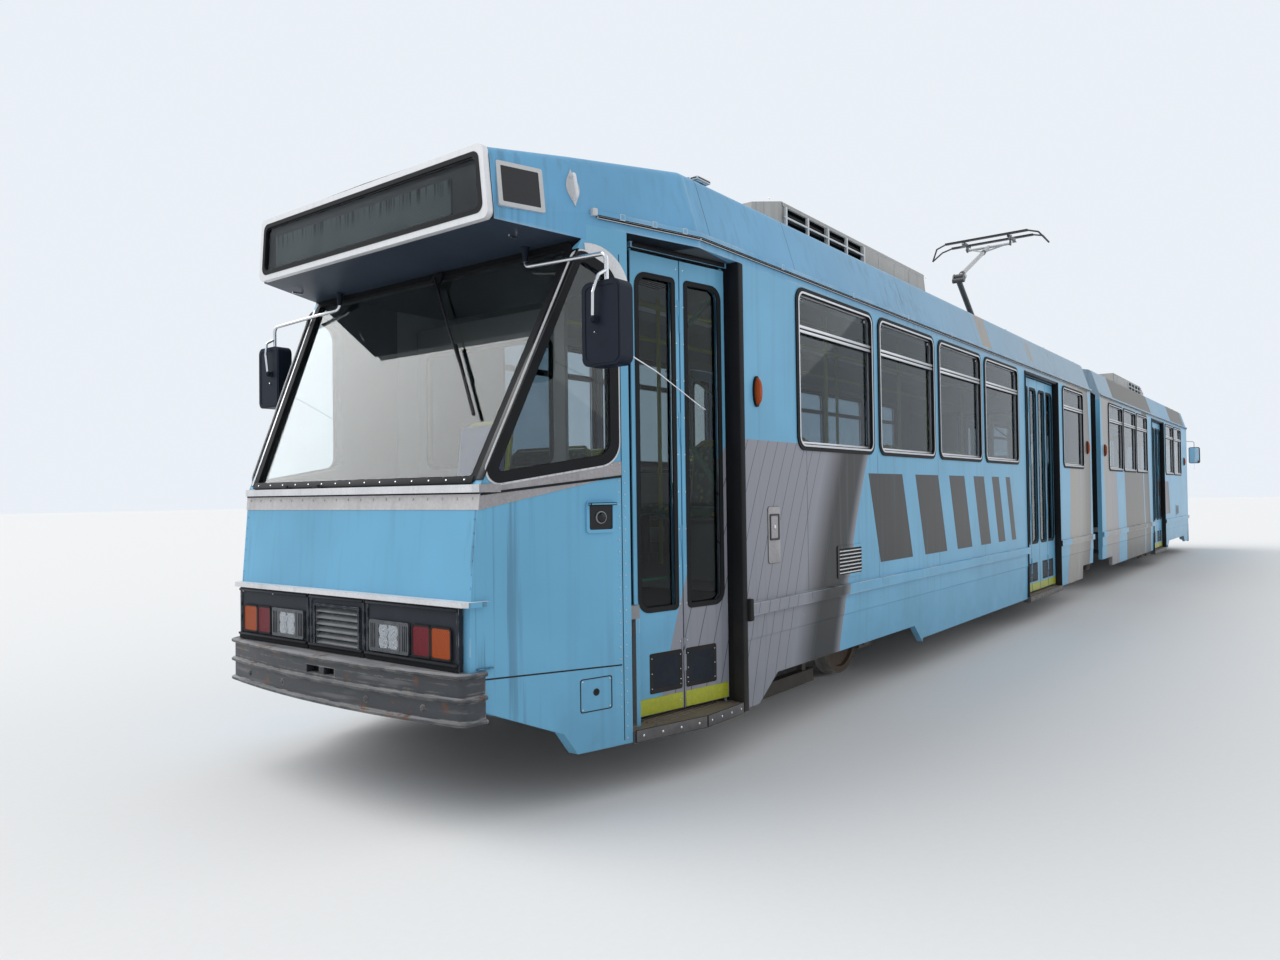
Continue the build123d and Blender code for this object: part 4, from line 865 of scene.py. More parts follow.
def islands(node):
    """Lowest corner, highest corner and face numbers of each connected part, in the front section's place."""
    mesh = frame["nodes"][node].data
    turn = turn_of(node)[1]
    keys, parent = {}, []

    def root(k):
        while parent[k] != k:
            parent[k] = parent[parent[k]]
            k = parent[k]
        return k

    spots = []
    for vertex in mesh.vertices:
        key = tuple(round(c, 5) for c in vertex.co)
        if key not in keys:
            keys[key] = len(parent)
            parent.append(len(parent))
        spots.append(keys[key])
    for face in mesh.polygons:
        first = root(spots[face.vertices[0]])
        for index in face.vertices[1:]:
            parent[root(spots[index])] = first
    found = {}
    for face in mesh.polygons:
        found.setdefault(root(spots[face.vertices[0]]), []).append(face.index)
    for numbers in found.values():
        points = [mesh.vertices[i].co for n in numbers for i in mesh.polygons[n].vertices]
        columns = list(zip(*[(p.x * turn, p.y * turn, p.z - RAIL) for p in points]))
        yield Vector([min(c) for c in columns]), Vector([max(c) for c in columns]), numbers


# A face of a node, in the front section's place: its centre, how far that is from the middle line, its normal,
# its lowest and highest height
Facet = namedtuple("Facet", "x y z wide nx ny nz low high")


def set_looks(mesh, car, default, rules):
    mesh.materials.clear()
    for look in [default] + [rule[0] for rule in rules]:
        mesh.materials.append(finish(look, car))


def dress(node, default, *rules):
    """Gives each face of a node the finish of the first rule whose test it passes."""
    mesh = frame["nodes"][node].data
    car, turn = turn_of(node)
    set_looks(mesh, car, default, rules)
    for face in mesh.polygons:
        x, y, z = face.center
        heights = [mesh.vertices[i].co.z - RAIL for i in face.vertices]
        facet = Facet(x * turn, y * turn, z - RAIL, abs(y), face.normal.x * turn, face.normal.y * turn,
                      face.normal.z, min(heights), max(heights))
        face.material_index = next((i + 1 for i, (_, test) in enumerate(rules) if test(facet)), 0)


def dress_islands(node, default, *rules):
    """Gives each connected part of a node the finish of the first rule whose test its corners pass."""
    mesh = frame["nodes"][node].data
    set_looks(mesh, turn_of(node)[0], default, rules)
    for low, high, numbers in islands(node):
        index = next((i + 1 for i, (_, test) in enumerate(rules) if test(low, high)), 0)
        for number in numbers:
            mesh.polygons[number].material_index = index


_trees = {}


def on_node(node, point, toward):
    """Surface at the place where a ray from the point meets a node: along is level, out is its normal."""
    if node not in _trees:
        mesh = frame["nodes"][node].data
        _trees[node] = BVHTree.FromPolygons([v.co - Vector((0, 0, RAIL)) for v in mesh.vertices],
                                            [tuple(p.vertices) for p in mesh.polygons])
    spot, normal, _, _ = _trees[node].ray_cast(Vector(point), Vector(toward))
    if spot is None:
        raise RuntimeError(f"nothing of {node} lies that way from {point}")
    if normal.dot(Vector(toward)) > 0:
        normal = -normal
    along = Vector(UP).cross(normal).normalized()
    if along.x < -0.1:
        along = -along
    up = normal.cross(along)
    return surface(spot, along, normal, -up if up.z < 0 else up)


def is_inside(f):
    """Face of the shell's inner side."""
    return f.wide < HALF_WIDTH - 0.05 and f.ny * f.y < -0.3 * f.wide


def spans(f, low, high):
    """Face that lies between two heights."""
    return f.low > low and f.high < high


class TRAM_OT_shell(bpy.types.Operator):
    """Paints the body sides, roof, cab, floor and doors"""
    bl_idname = "tram.shell"
    bl_label = "Shell finishes"

    CAB_MIDDLE = Vector((10.7, 0, 1.7))

    def execute(self, context):
        posts = [edge for _, *edges in SIDE_DOORWAYS + [(1, ENTRY_REAR)] for edge in edges]
        doorways = SIDE_DOORWAYS + [(1, 9.90, 11.0)]
        for car in SECTIONS:
            for side in ("left", "right"):
                dress(f"{car}_side_{side}", "body_paint",
                      ("rubber", lambda f: f.x < .40 and abs(f.nx) > .9 and f.wide < 1.276),
                      ("black_paint", lambda f: abs(f.nx) > .9 and f.wide > HALF_WIDTH - .2
                       and any(abs(f.x - post) < .05 for post in posts)),
                      ("lining", is_inside),
                      ("lining", lambda f: f.wide < HALF_WIDTH - .061))
            dress(f"{car}_roof", "fascia_paint",
                  ("white_frame", lambda f: f.x > 11.5105),
                  ("black_paint", lambda f: f.x > 11.50 and f.nx > .9),
                  ("visor_navy", lambda f: f.nz < -.5 and f.x > 10.95),
                  # Underside of the gutter in black: painted shade under the gutter's lip
                  ("black_paint", lambda f: f.nz < -.9 and spans(f, GUTTER - .010, GUTTER + .003)
                   and f.wide > 1.2),
                  ("grille", lambda f: .645 < f.wide < .6975 and spans(f, 3.54, 3.71)),
                  ("housing", lambda f: f.wide < .705 and f.high > 3.45 and f.x < 8.9),
                  # Undersides of the heads over the doorways in black: painted shade of the recesses
                  ("black_paint", lambda f: f.nz < -.2 and .94 < f.wide < HALF_WIDTH - .004 and f.low < 2.86
                   and any(f.y * side > 0 and rear < f.x < front for side, rear, front in doorways)),
                  ("cab_lining", lambda f: f.x > 9.9 and f.nz < -.2 and f.wide < 1.275),
                  ("lining", lambda f: f.x < 10.6 and f.nz < -.2 and f.wide < 1.275),
                  ("lining", lambda f: f.x < 10.6 and f.low > 2.80 and is_inside(f)))
            dress(f"{car}_cab", "body_paint",
                  ("grey_band", lambda f: abs(f.ny) > .6 and f.wide > .96 and spans(f, *BELT_LEDGE)),
                  ("body_paint", lambda f: abs(f.ny) > .6 and f.wide > .96 and spans(f, *APRON_LEDGE)),
                  # Underside of the head over the entry door in black: painted shade of the recess
                  ("black_paint", lambda f: f.y > .9 and f.x < 10.9 and f.low > 2.6 and f.nz < -.5),
                  ("black_paint", lambda f: f.y > .9 and f.x < 10.0 and f.nx > .9),
                  ("ledge_white", lambda f: spans(f, *BELT_LEDGE) and f.x > 11.4),
                  ("ledge_white", lambda f: spans(f, *APRON_LEDGE) and f.x > 11.4),
                  ("black_gloss", lambda f: f.nx > .8 and f.low > BELT + .002),
                  ("visor_navy", lambda f: f.low > 2.70 and f.nz < -.3),
                  ("cab_lining", lambda f: Vector(f[4:7]).dot(Vector(f[:3]) - self.CAB_MIDDLE) < 0))
            dress(f"{car}_floor", "underframe",
                  ("vinyl_floor", lambda f: f.nz > .9 and f.low > FLOOR_TOP - .003),
                  ("tread", lambda f: f.nz > .9 and f.wide > .56 and f.low > STEP_LOW - .003),
                  ("worn_nosing", lambda f: f.wide > HALF_WIDTH - .06 and spans(f, .22, .29)),
                  ("body_paint", lambda f: f.y > 1.15 and 10.68 < f.x < 10.72 and abs(f.ny) > .9),
                  ("black_paint", lambda f: abs(f.x - ENTRY_REAR) < .01 and f.nx > .9),
                  ("grey_bezel", lambda f: f.wide > .56 and f.low > .25 and abs(f.nz) < .1))
            dress_islands(f"{car}_glazing", "side_glass", ("screen_glass", lambda low, high: low.x > 10.4))
            dress(f"{car}_window_frames", "rubber")
            for door, *_ in DOOR_LINES:
                for leaf in "12":
                    dress_islands(f"{car}_{door}{leaf}", "door_paint",
                                  ("door_glass", lambda low, high: low.z > .8))
            dress(f"{car}_grab_rails", "lime_pole")
        return {"FINISHED"}


class TRAM_OT_windows(bpy.types.Operator):
    """Adds bright inner strips, hopper rails, sills and catches to the side windows"""
    bl_idname = "tram.windows"
    bl_label = "Window trims"

    def execute(self, context):
        width = context.scene.tram_sizes.window_trim
        piece = Piece()
        for low, high, _ in islands("front_window_frames"):
            on = side_surface(copysign(1, high.y))
            corners = rectangle(low.x, high.x, low.z, high.z)
            sash = low.z + (high.z - low.z) * .72
            piece.rim(corners, (.025, .071), (.025 + width, .071 - width), .004, .0125, "aluminium", on, 8)
            piece.rim(corners, (.039, .056), (.052, .044), -.0215, -.012, "aluminium", on, 8)
            for v in (sash + .001, sash + .030):
                piece.box(low.x + .040, high.x - .040, v, v + .020, -.004, .0045, "aluminium", on, .003)
            piece.box(low.x + .05, high.x - .05, low.z + .042, low.z + .058, -.020, -.004, "aluminium", on,
                      .003)
            for u in (low.x + .085, high.x - .125):
                piece.box(u, u + .040, high.z - .085, high.z - .067, -.0215, -.008, "moulded_black", on, .003)
        emit(piece, "window_trims")
        return {"FINISHED"}


def door_line(foot, along, out):
    """Surface along a line of door leaves."""
    return surface((*foot, 0), (*along, 0), (*out, 0))


def leaf_surfaces():
    """Each door leaf of the front section: body, surface, start and end along it, outer end first or not."""
    for door, foot, along, out, width in DOOR_LINES:
        on = door_line(foot, along, out)
        yield f"{door}1", on, POST_GAP, POST_GAP + width, True
        start = POST_GAP + width + LEAF_GAP
        yield f"{door}2", on, start, start + width, False


class TRAM_OT_doors(bpy.types.Operator):
    """Adds gaskets, lower panes, warning strips and edge rubbers to the folding leaves"""
    bl_idname = "tram.doors"
    bl_label = "Door trims"

    def execute(self, context):
        sizes = context.scene.tram_sizes
        for body, on, start, end, outer_first in leaf_surfaces():
            piece = Piece()
            window = rectangle(start + .048, end - .048, .870, 2.655)
            radii = [.060, .010, .010, .060] if outer_first else [.010, .060, .060, .010]
            outer = -sizes.gasket, [r + sizes.gasket for r in radii]
            inner = .009, [max(r - .009, .004) for r in radii]
            piece.rim(window, outer, inner, -.006, .0035, "rubber", on)
            piece.rim(window, outer, inner, -.044, -.036, "rubber", on)
            piece.box(start + .0305, end - .0305, .4305, .6195, -.0055, .0006, "door_paint", on)
            low, high = (end - .240, end - .022) if outer_first else (start + .022, start + .240)
            pane = rectangle(low, high, .430, .620)
            piece.rim(pane, (-.012, .012), (.012, .008), 0, .0022, "rubber", on, 3)
            piece.plate(pane, .006, .010, 0, .0014, "dark_pane", on, 3)
            piece.bolts((low + .002, high - .002), (.445, .525, .605), on, radius=.0032, w=.0018)
            strip = rectangle(start + .006, end - .006, LEAF_FOOT + .002, LEAF_FOOT + sizes.kicker_height)
            piece.plate(strip, 0, .006, 0, .0020, "kicker", on, 3)
            piece.bolts((start + .03, end - .03), [LEAF_FOOT + .045], on, radius=.0032, w=.0018)
            if not outer_first:
                piece.box(end, end + .005, LEAF_FOOT, LEAF_HEAD, -.030, -.006, "rubber", on, .002)
                grip = [(start + .03, -.040), (start + .03, -.072), (end - .03, -.072), (end - .03, -.040)]
                piece.tube(softened([on @ Vector((u, 1.02, w)) for u, w in grip], .015), .009, "green_pole", 8)
            fold = end - .022 if outer_first else start + .022
            piece.bolts([fold], spaced(LEAF_FOOT + .16, .205, 12), on, radius=.0042)
            emit(piece, f"{body}_trim", body)
        return {"FINISHED"}


class TRAM_OT_doorways(bpy.types.Operator):
    """Adds rubber posts, head panels, step edges and handrails to the doorways"""
    bl_idname = "tram.doorways"
    bl_label = "Doorway trims"

    def execute(self, context):
        piece = Piece()
        left, taper = side_surface(1), taper_surface(1)
        piece.boxes(left, (9.893, 9.947, STEP_LOW - .055, CANTRAIL - .004, -.058, .016, "rubber", .008),
                    (9.852, 9.892, .742, .871, 0, .034, "rubber", .008))
        head = LEAF_HEAD + .018, CANTRAIL - .002
        nosing = STEP_LOW - .058, STEP_LOW + .006, .008, .016, "worn_nosing"
        for side, rear, front in SIDE_DOORWAYS:
            on = side_surface(side)
            for u in (rear - .004, front - .022):
                piece.box(u, u + .026, STEP_LOW, CANTRAIL - .002, -.058, .012, "rubber", on, .006)
            # Black strip over the leaves: painted shade of the recess under the head
            piece.box(rear + .03, front - .03, *head, -.052, -.006, "black_paint", on, .003)
            piece.box(rear + .004, front - .004, *nosing, on, .003)
            for v in spaced(STEP_LOW - .052, .012, 5):
                piece.box(rear + .01, front - .01, v, v + .005, .016, .019, "worn_nosing", on)
            piece.bolts(spaced(rear + .12, (front - rear - .24) / 6, 7), [STEP_LOW - .026], on, w=.018)
            for v in spaced(HALF_WIDTH - .36, .040, 9):
                piece.box(rear + .06, front - .06, v, v + .014, 0, .004, "tread",
                          surface((0, 0, STEP_LOW), X, UP, (0, side, 0)))
        # Black strip over the entry leaves: painted shade of the recess under the head
        piece.box(.03, .74, *head, -.050, .020, "black_paint", door_line(*DOOR_LINES[0][1:4]), .003)
        for on, rear, front, first, step in ((left, 9.955, BEND_X, 9.99, .1),
                                             (taper, BEND_X + .002, 10.79, BEND_X + .06, .12)):
            piece.box(rear, front, *nosing, on, .003)
            piece.bolts(spaced(first, step, 4), [STEP_LOW - .026], on, w=.016)
        for v in spaced(HALF_WIDTH - .36, .030, 9):
            piece.box(9.98, 10.62, v, v + .011, 0, .004, "tread", level(0, 0, STEP_LOW))
        emit(piece, "doorway_trims")
        rails = Piece()
        for side, x in ((1, 2.215), (1, 3.849), (-1, 5.086), (-1, 6.720), (1, 9.876)):
            post, grip = side * (HALF_WIDTH - .145), side * (HALF_WIDTH - .445)
            bends = ((post, .10), (post, .55), (grip, .95), (grip, 1.55), (post, 1.80))
            rails.tube(softened([(x, y, FLOOR_TOP + z) for y, z in bends], .09, 5), .016, "green_pole")
        emit(rails, "doorway_rails")
        return {"FINISHED"}


class TRAM_OT_cab_front(bpy.types.Operator):
    """Adds the windscreen's rubbers, edge strips and wiper, and the trim of the tapered cab sides"""
    bl_idname = "tram.cab_front"
    bl_label = "Cab front trims"

    def execute(self, context):
        piece = Piece()
        foot, head = CORNER_HALF - .062, taper_half(SCREEN_TOP_X) - .062
        corners = [(foot, .035), (head, SCREEN_LENGTH - .025), (-head, SCREEN_LENGTH - .025), (-foot, .035)]
        piece.rim(corners, (-.026, [.046, .056, .056, .046]), (.014, [.012, .018, .018, .012]), -.013, .006,
                  "rubber", SCREEN)
        piece.box(-.935, .935, .012, .050, .004, .010, "black_paint", SCREEN, .002)
        piece.bolts(spaced(-.88, 1.76 / 14, 15), [.030], SCREEN, radius=.0050, w=.009)
        lean = (head - foot) / (SCREEN_LENGTH - .06) * 1.24
        for side, look, width in ((-1, "aluminium", .022), (1, "black_gloss", .050)):
            inner, outer = side * (foot + .026), side * (foot + .026 + width)
            strip = [(inner, .030), (outer, .030), (outer + side * lean, 1.270), (inner + side * lean, 1.270)]
            piece.prism(strip, .001, .007, look, SCREEN, .002)
        for side in (1, -1):
            self.cab_side(piece, taper_surface(side), context.scene.tram_sizes.rivet)
        self.apron(piece)
        emit(piece, "cab_trims")
        self.wiper()
        return {"FINISHED"}

    def cab_side(self, piece, taper, rivet):
        """Window rubber, bands, rivets, seams and small fittings of a tapered side."""
        window = [(11.553, 1.578), (11.078, 2.652), (10.905, 2.580), (10.905, 1.680)]
        radii = [.030, .040, .110, .090]
        piece.rim(window, (-.040, [r + .030 for r in radii]), (.012, [max(r - .014, .012) for r in radii]),
                  -.010, .008, "rubber", taper, 8)
        piece.rim(window, (-.049, [r + .038 for r in radii]), (-.038, [r + .028 for r in radii]), 0, .0045,
                  "ledge_white", taper, 8)
        turns = [radians(4 + k * 8) for k in range(13)]
        arcs = [[(11.015 - reach * cos(a), 2.505 + reach * sin(a)) for a in turns] for reach in (.225, .158)]
        for outline, w0, w1, look in (
                (arcs[0] + arcs[1][::-1], 0, .0035, "ledge_white"),
                ([(11.608, 1.536), (11.608, 1.494), (10.852, 1.580), (10.852, 1.652)], 0, .004, "grey_band"),
                ([(11.612, 1.500), (11.612, 1.488), (10.852, 1.570), (10.852, 1.582)], 0, .006, "black_paint"),
                ([(11.618, 1.489), (11.624, 1.421), (10.985, 1.554), (10.985, 1.557)], 0, .003, "grey_band"),
                # Thin black line along the crease: painted shade of the crease
                ([(11.655, .662), (11.655, .655), (10.860, .625), (10.860, .632)], -.0005, .0012,
                 "black_paint")):
            piece.prism(outline, w0, w1, look, taper)
        for share in spaced(0, 1 / 16, 17):
            piece.bolts([11.590 - .725 * share], [1.522 + .120 * share], taper, "almond", rivet, .004)
        piece.bolts([10.868], spaced(.42, 1.135 / 19, 20), taper, "almond", rivet)
        piece.bolts([10.832], spaced(.26, 1.34 / 23, 24), taper, "almond", rivet)
        piece.boxes(taper, (10.848, 10.852, .250, 2.70, -.0005, .0012, "black_paint", 0),
                    (11.560, 11.640, .704, .711, 0, .014, "body_paint", .002),
                    (10.902, 11.054, 1.432, 1.446, 0, .038, "body_paint", .004))
        piece.rim(rectangle(10.921, 11.105, .423, .587), (0, .012), (.005, .009), -.0005, .0015, "black_paint",
                  taper, 3)
        piece.lathe([(.018, 0), (.018, .0015), (.013, .0015), (.013, 0)], "black_paint",
                    at(taper, 11.013, .515), 20)
        piece.bolts((10.935, 11.091), (.437, .573), taper, radius=.004)
        recess = rectangle(10.908, 11.048, 1.310, 1.440)
        piece.plate(recess, 0, .010, 0, .004, "black_gloss", taper, 3)
        piece.rim(recess, (-.014, .018), (.002, .010), 0, .010, "body_paint", taper, 3)
        lens = at(taper, 10.978, 1.372, .004)
        piece.lathe([(.026, 0), (.026, .010), (.020, .018), (.012, .020), (0, .021)], "black_gloss", lens, 20)
        piece.lathe([(.031, 0), (.031, .006), (.026, .008)], "grey_bezel", lens, 20)

    def apron(self, piece):
        """Riveted strip, bolts and seams of the apron below the windscreen."""
        strip = [(-.989, -.030), (.989, -.030), (.987, -.108), (-.987, -.108)]
        # The strip is a paler copy of the grey band of the cab sides: painted sunlight on the front
        piece.prism(strip, -.0005, .0030, "riveted_strip", APRON)
        piece.box(-.989, .989, -.036, -.029, 0, .0050, "black_paint", APRON)
        piece.bolts(spaced(-.945, .105, 19), [-.056], APRON, "riveted_strip", .0062, .003)
        for y in (-.60, -.30):
            piece.box(y, y + .075, 1.540, 1.546, 11.615, 11.640, "black_paint", forward(0), .002)
            piece.bolts([y + .0375], [.018], APRON, "black_paint", .012, .012)
        piece.bolts((-.965, .965), spaced(-.15, -.062, 6), APRON, "body_paint", .0045)

    def wiper(self):
        wiper = Piece()
        wiper.box(.06, .14, SCREEN_LENGTH - .09, SCREEN_LENGTH - .02, .006, .028, "black_paint", SCREEN, .005)
        arm = ((.10, SCREEN_LENGTH - .06, .030), (.42, .86, .034), (.63, .60, .024))
        wiper.tube([SCREEN @ Vector(p) for p in arm], [.008, .006, .005], "black_paint", 8)
        blade = [(.462, .80), (.474, .806), (.804, .372), (.792, .366)]
        wiper.prism(blade, .008, .020, "rubber", SCREEN)
        emit(wiper, "wiper")


class TRAM_OT_destination(bpy.types.Operator):
    """Fills the destination box with its gasket, glass and blind, and fits its plates and handles"""
    bl_idname = "tram.destination"
    bl_label = "Destination box"

    FACE = 11.510
    CODE = (11.367, 2.945)
    HANDLE = (11.083, 3.000)

    def execute(self, context):
        face = forward(self.FACE)
        corners = [(.985, 2.770), (.946, 3.127), (-.946, 3.127), (-.985, 2.770)]
        blind = [(.700, 2.842), (.700, 3.018), (-.835, 3.018), (-.835, 2.842)]
        piece = Piece()
        piece.rim(corners, (.031, .042), (.054, .034), .002, .0365, "rubber", face)
        piece.rim(corners, (.054, .034), (.060, .030), .016, .029, "black_gloss", face)
        piece.plate(corners, .050, .036, .001, .004, "black_gloss", face)
        piece.plate(blind, 0, .010, .005, .009, "display_blind", face, 4)
        piece.plate(corners, .056, .032, .018, .023, "display_glass", face)
        emit(piece, "destination_display")
        plates = Piece()
        almond = [(.038 * sin(pi * k / 12) ** 1.2, -.100 + .200 * k / 12) for k in range(1, 12)]
        boss = [(0, -.104), *almond, (0, .104), *[(-u, v) for u, v in reversed(almond)]]
        for side in (1, -1):
            code, handle = [on_node("front_roof", (x, side * 2, z), (0, -side, 0))
                            for x, z in (self.CODE, self.HANDLE)]
            plates.rim(rectangle(-.122, .122, -.112, .112), (0, .010), (.022, .006), -.004, .010, "almond",
                       code, 3)
            plates.plate(rectangle(-.101, .101, -.091, .091), 0, .006, -.004, .0075, "black_gloss", code, 3)
            plates.prism(boss, 0, .004, "almond", handle)
            grip = ((-.062, 0), (-.062, .034), (.062, .034), (.062, 0))
            plates.tube(softened([handle @ Vector((0, v, w)) for v, w in grip], .014), .0085, "white_frame")
            hook = [(11.30, side * .92, 2.772), (11.30, side * .92, 2.735), (11.36, side * .93, 2.735)]
            plates.tube(softened(hook, .012), .006, "bright_steel", 8)
        emit(plates, "box_plates")
        return {"FINISHED"}


class TRAM_OT_lamps(bpy.types.Operator):
    """Finishes the lamp panel: bezels, reflectors, lenses and bolts"""
    bl_idname = "tram.lamps"
    bl_label = "Lamps"

    PANEL = 11.703
    LENS_CELLS = ((.611, .735), (.745, .880))
    HEADLAMP = .436
    BAYS = ((-.930, -.250), (-.235, .235), (.250, .930))
    BOWL = ((.0375, 0), (.0365, .0034), (.033, .0036), (.026, .0020), (.014, .0009), (.008, .0008),
            (.006, .0032), (0, .0038))

    def execute(self, context):
        cells = (("red_lens", .600, .745), ("amber_lens", .740, .885), ("black_gloss", .280, .590))
        for car in SECTIONS:
            dress_islands(f"{car}_lamps", "lamp_slate", *[
                (look, lambda low, high, near=near, far=far: high.z - low.z < .16
                 and near < min(abs(low.y), abs(high.y)) and max(abs(low.y), abs(high.y)) < far)
                for look, near, far in cells])
            mesh = frame["nodes"][f"{car}_lamps"].data
            mesh.materials.append(finish("louvre_slat"))
            for face in mesh.polygons:
                spots = [mesh.vertices[i].co for i in face.vertices]
                if (max(abs(spot.y) for spot in spots) < .191 and min(spot.z for spot in spots) - RAIL > .724
                        and abs(face.center.x) > 11.6772):
                    face.material_index = len(mesh.materials) - 1
        piece = Piece()
        face = forward(self.PANEL)
        for side in (1, -1):
            for near, far in self.LENS_CELLS:
                lens = rectangle(*sorted((side * near, side * far)), .745, .888)
                piece.rim(lens, (-.005, .018), (.004, .012), -.006, .0015, "rubber", face, 4)
            centre = side * self.HEADLAMP
            cell = rectangle(centre - .150, centre + .150, .741, .892)
            glass = rectangle(centre - .078, centre + .078, .757, .876)
            piece.ring(rounded(cell, .010, 4), rounded(glass, .008, 4), -.006, .0045, "lamp_bezel", face)
            piece.rim(glass, (-.008, .012), (.003, .006), .0045, .0065, "lamp_bezel", face, 4)
            for u in [centre + du for du in (-.138, -.124, -.110, .106, .120, .134)]:
                piece.box(u, u + .005, .757, .876, .0045, .007, "lamp_bezel", face, .001)
            piece.plate(glass, 0, .008, -.002, .0003, "lamp_reflector", face, 4)
            for u in (centre - .038, centre + .038):
                for v in (.789, .845):
                    piece.lathe(self.BOWL, "lamp_reflector", at(face, u, v, .0003), 24)
            piece.plate(glass, .002, .006, .0042, .0060, "lamp_glass", face, 4)
        for right, left in self.BAYS:
            piece.boxes(face, (right + .004, left - .004, .720, .733, -.004, .012, "lamp_slate", .004),
                        # Black strip below the lip: painted shade of the recess above the bumper
                        (right, left, .6965, .719, -.004, .001, "grille", 0),
                        (right + .004, left - .004, .966, .980, -.004, .006, "lamp_slate", .003))
        piece.bolts((-.597, -.906, -.264), (.715, .965), face, radius=.0055, w=-.010)
        piece.ring(rounded(rectangle(-.198, .198, .716, .940), .010, 3),
                   rounded(rectangle(-.186, .186, .727, .929), .006, 3), -.010, .001, "lamp_slate", face)
        emit(piece, "lamp_trims")
        return {"FINISHED"}


class TRAM_OT_bumper(bpy.types.Operator):
    """Builds the bowed bumper with its three rolled lips and the tow slot"""
    bl_idname = "tram.bumper"
    bl_label = "Bumper"

    LIPS = (.684, .578, .472)
    LIP_SECTION = ((.024, .012), (.008, .010), (.001, .005), (0, 0), (.001, -.005), (.008, -.010),
                   (.024, -.012))
    SLOT = (.604, .644, .120)
    BACK = 11.600

    def face_x(self, y):
        """Station of the bowed face."""
        return HALF_LENGTH - .070 * (y / .910) ** 2

    def execute(self, context):
        piece = Piece()
        back = self.BACK
        arc = [Vector((self.face_x(y), y)) for y in spaced(-.90, .05, 37)]
        first, last = [Vector((back, y)) for y in (-1.012, 1.012)]
        right, left = [Vector((HALF_LENGTH - .082, y)) for y in (-1, 1)]
        path = [first, *arc_corner(first, right, arc[0], .070, 8), *arc,
                *arc_corner(arc[-1], left, last, .070, 8), last]
        outward = [Vector((run.y, -run.x)) for run in headings(path)]
        core = [spot - out * .020 for spot, out in zip(path, outward)]
        low, high, reach = self.SLOT
        face = HALF_LENGTH - .0212
        beside = [(back, reach), (face, reach)] + [c for c in core if c.y > reach + .01]
        other = [c for c in core if c.y < -reach - .01] + [(face, -reach), (back, -reach)]
        for outline, foot, head in ((core, .460, low), (core, high, .694), (beside, low, high),
                                    (other, low, high)):
            piece.prism(outline, foot, head, "bumper_paint", Matrix.Identity(4))
        piece.box(back, face - .045, -reach, reach, low, high, "grille")
        piece.box(face - .050, face - .006, -.020, .020, low, high, "bumper_paint", bevel=.002)
        count = len(self.LIP_SECTION)
        for z in self.LIPS:
            points = [Vector((*(spot - out * depth), z + rise)) for spot, out in zip(path, outward)
                      for depth, rise in self.LIP_SECTION]
            loops = [(a, a + 1, a + 1 + count, a + count)
                     for j in range(len(path) - 1) for a in range(j * count, j * count + count - 1)]
            ends = [range(count), range(len(points) - count, len(points))]
            piece.faces(points, loops + ends, "bumper_paint")
        for y in (.36, .74, -.36, -.74):
            spot = forward(self.face_x(y) - .020, y, .525)
            piece.lathe([(.014, -.01), (.014, .003), (.009, .007), (0, .008)], "bumper_paint", spot, 12)
        emit(piece, "bumper_shell", replaced=("bumper",))
        return {"FINISHED"}


class TRAM_OT_mirrors(bpy.types.Operator):
    """Finishes the mirrors: glass, ball joints, bright arms and whips"""
    bl_idname = "tram.mirrors"
    bl_label = "Mirrors"

    OUT = 1.400
    HEIGHT = 2.270

    def execute(self, context):
        for car in SECTIONS:
            dress(f"{car}_mirrors", "bright_steel",
                  ("moulded_black", lambda f: abs(f.x - 11.2) < .0455 and f.wide > 1.284
                   and 2.07 < f.z < 2.4655))
        piece = Piece()
        pane = rectangle(-.102, .102, -.182, .182)
        for side in (1, -1):
            glass = surface((11.155, side * self.OUT, self.HEIGHT), Y, (-1, 0, 0))
            piece.plate(pane, 0, .034, 0, .003, "mirror_glass", glass)
            piece.rim(pane, (-.010, .040), (0, .034), 0, .006, "rubber", glass)
            front = forward(11.245, side * self.OUT, self.HEIGHT)
            piece.rim(pane, (-.002, .036), (.010, .028), 0, .003, "moulded_black", front)
            ball = at(front, -side * .03, .02)
            piece.lathe([(.020, 0), (.020, .006), (.016, .010), (.019, .020), (.015, .030), (.006, .036),
                         (0, .037)], "moulded_black", ball)
            arm = [ball @ Vector((side * u, v, w)) for u, v, w in (
                (0, 0, .022), (.010, .120, .030), (.028, .200, .012))]
            arm.append((11.205, side * self.OUT, self.HEIGHT + .250))
            piece.tube(softened(arm, .02), .008, "bright_steel")
            whip = [ball @ Vector((0, -.06, .012)), Vector((10.86, side * 1.432, 2.080)),
                    Vector((10.52, side * 1.462, 1.930))]
            piece.tube(whip, [.0035, .0030, .0026], "bright_steel", 6)
            tip = surface(whip[-1], X, whip[-1] - whip[-2], Y)
            piece.lathe([(0, -.004), (.009, 0), (.009, .030), (0, .034)], "white_frame", tip, 8)
            cone = surface((11.120, side * .800, 2.758), X, (0, 0, -1), Y)
            piece.lathe([(.030, 0), (.030, .006), (.020, .014), (.015, .060), (.0115, .085)], "moulded_black",
                        cone)
        emit(piece, "mirror_fittings")
        return {"FINISHED"}


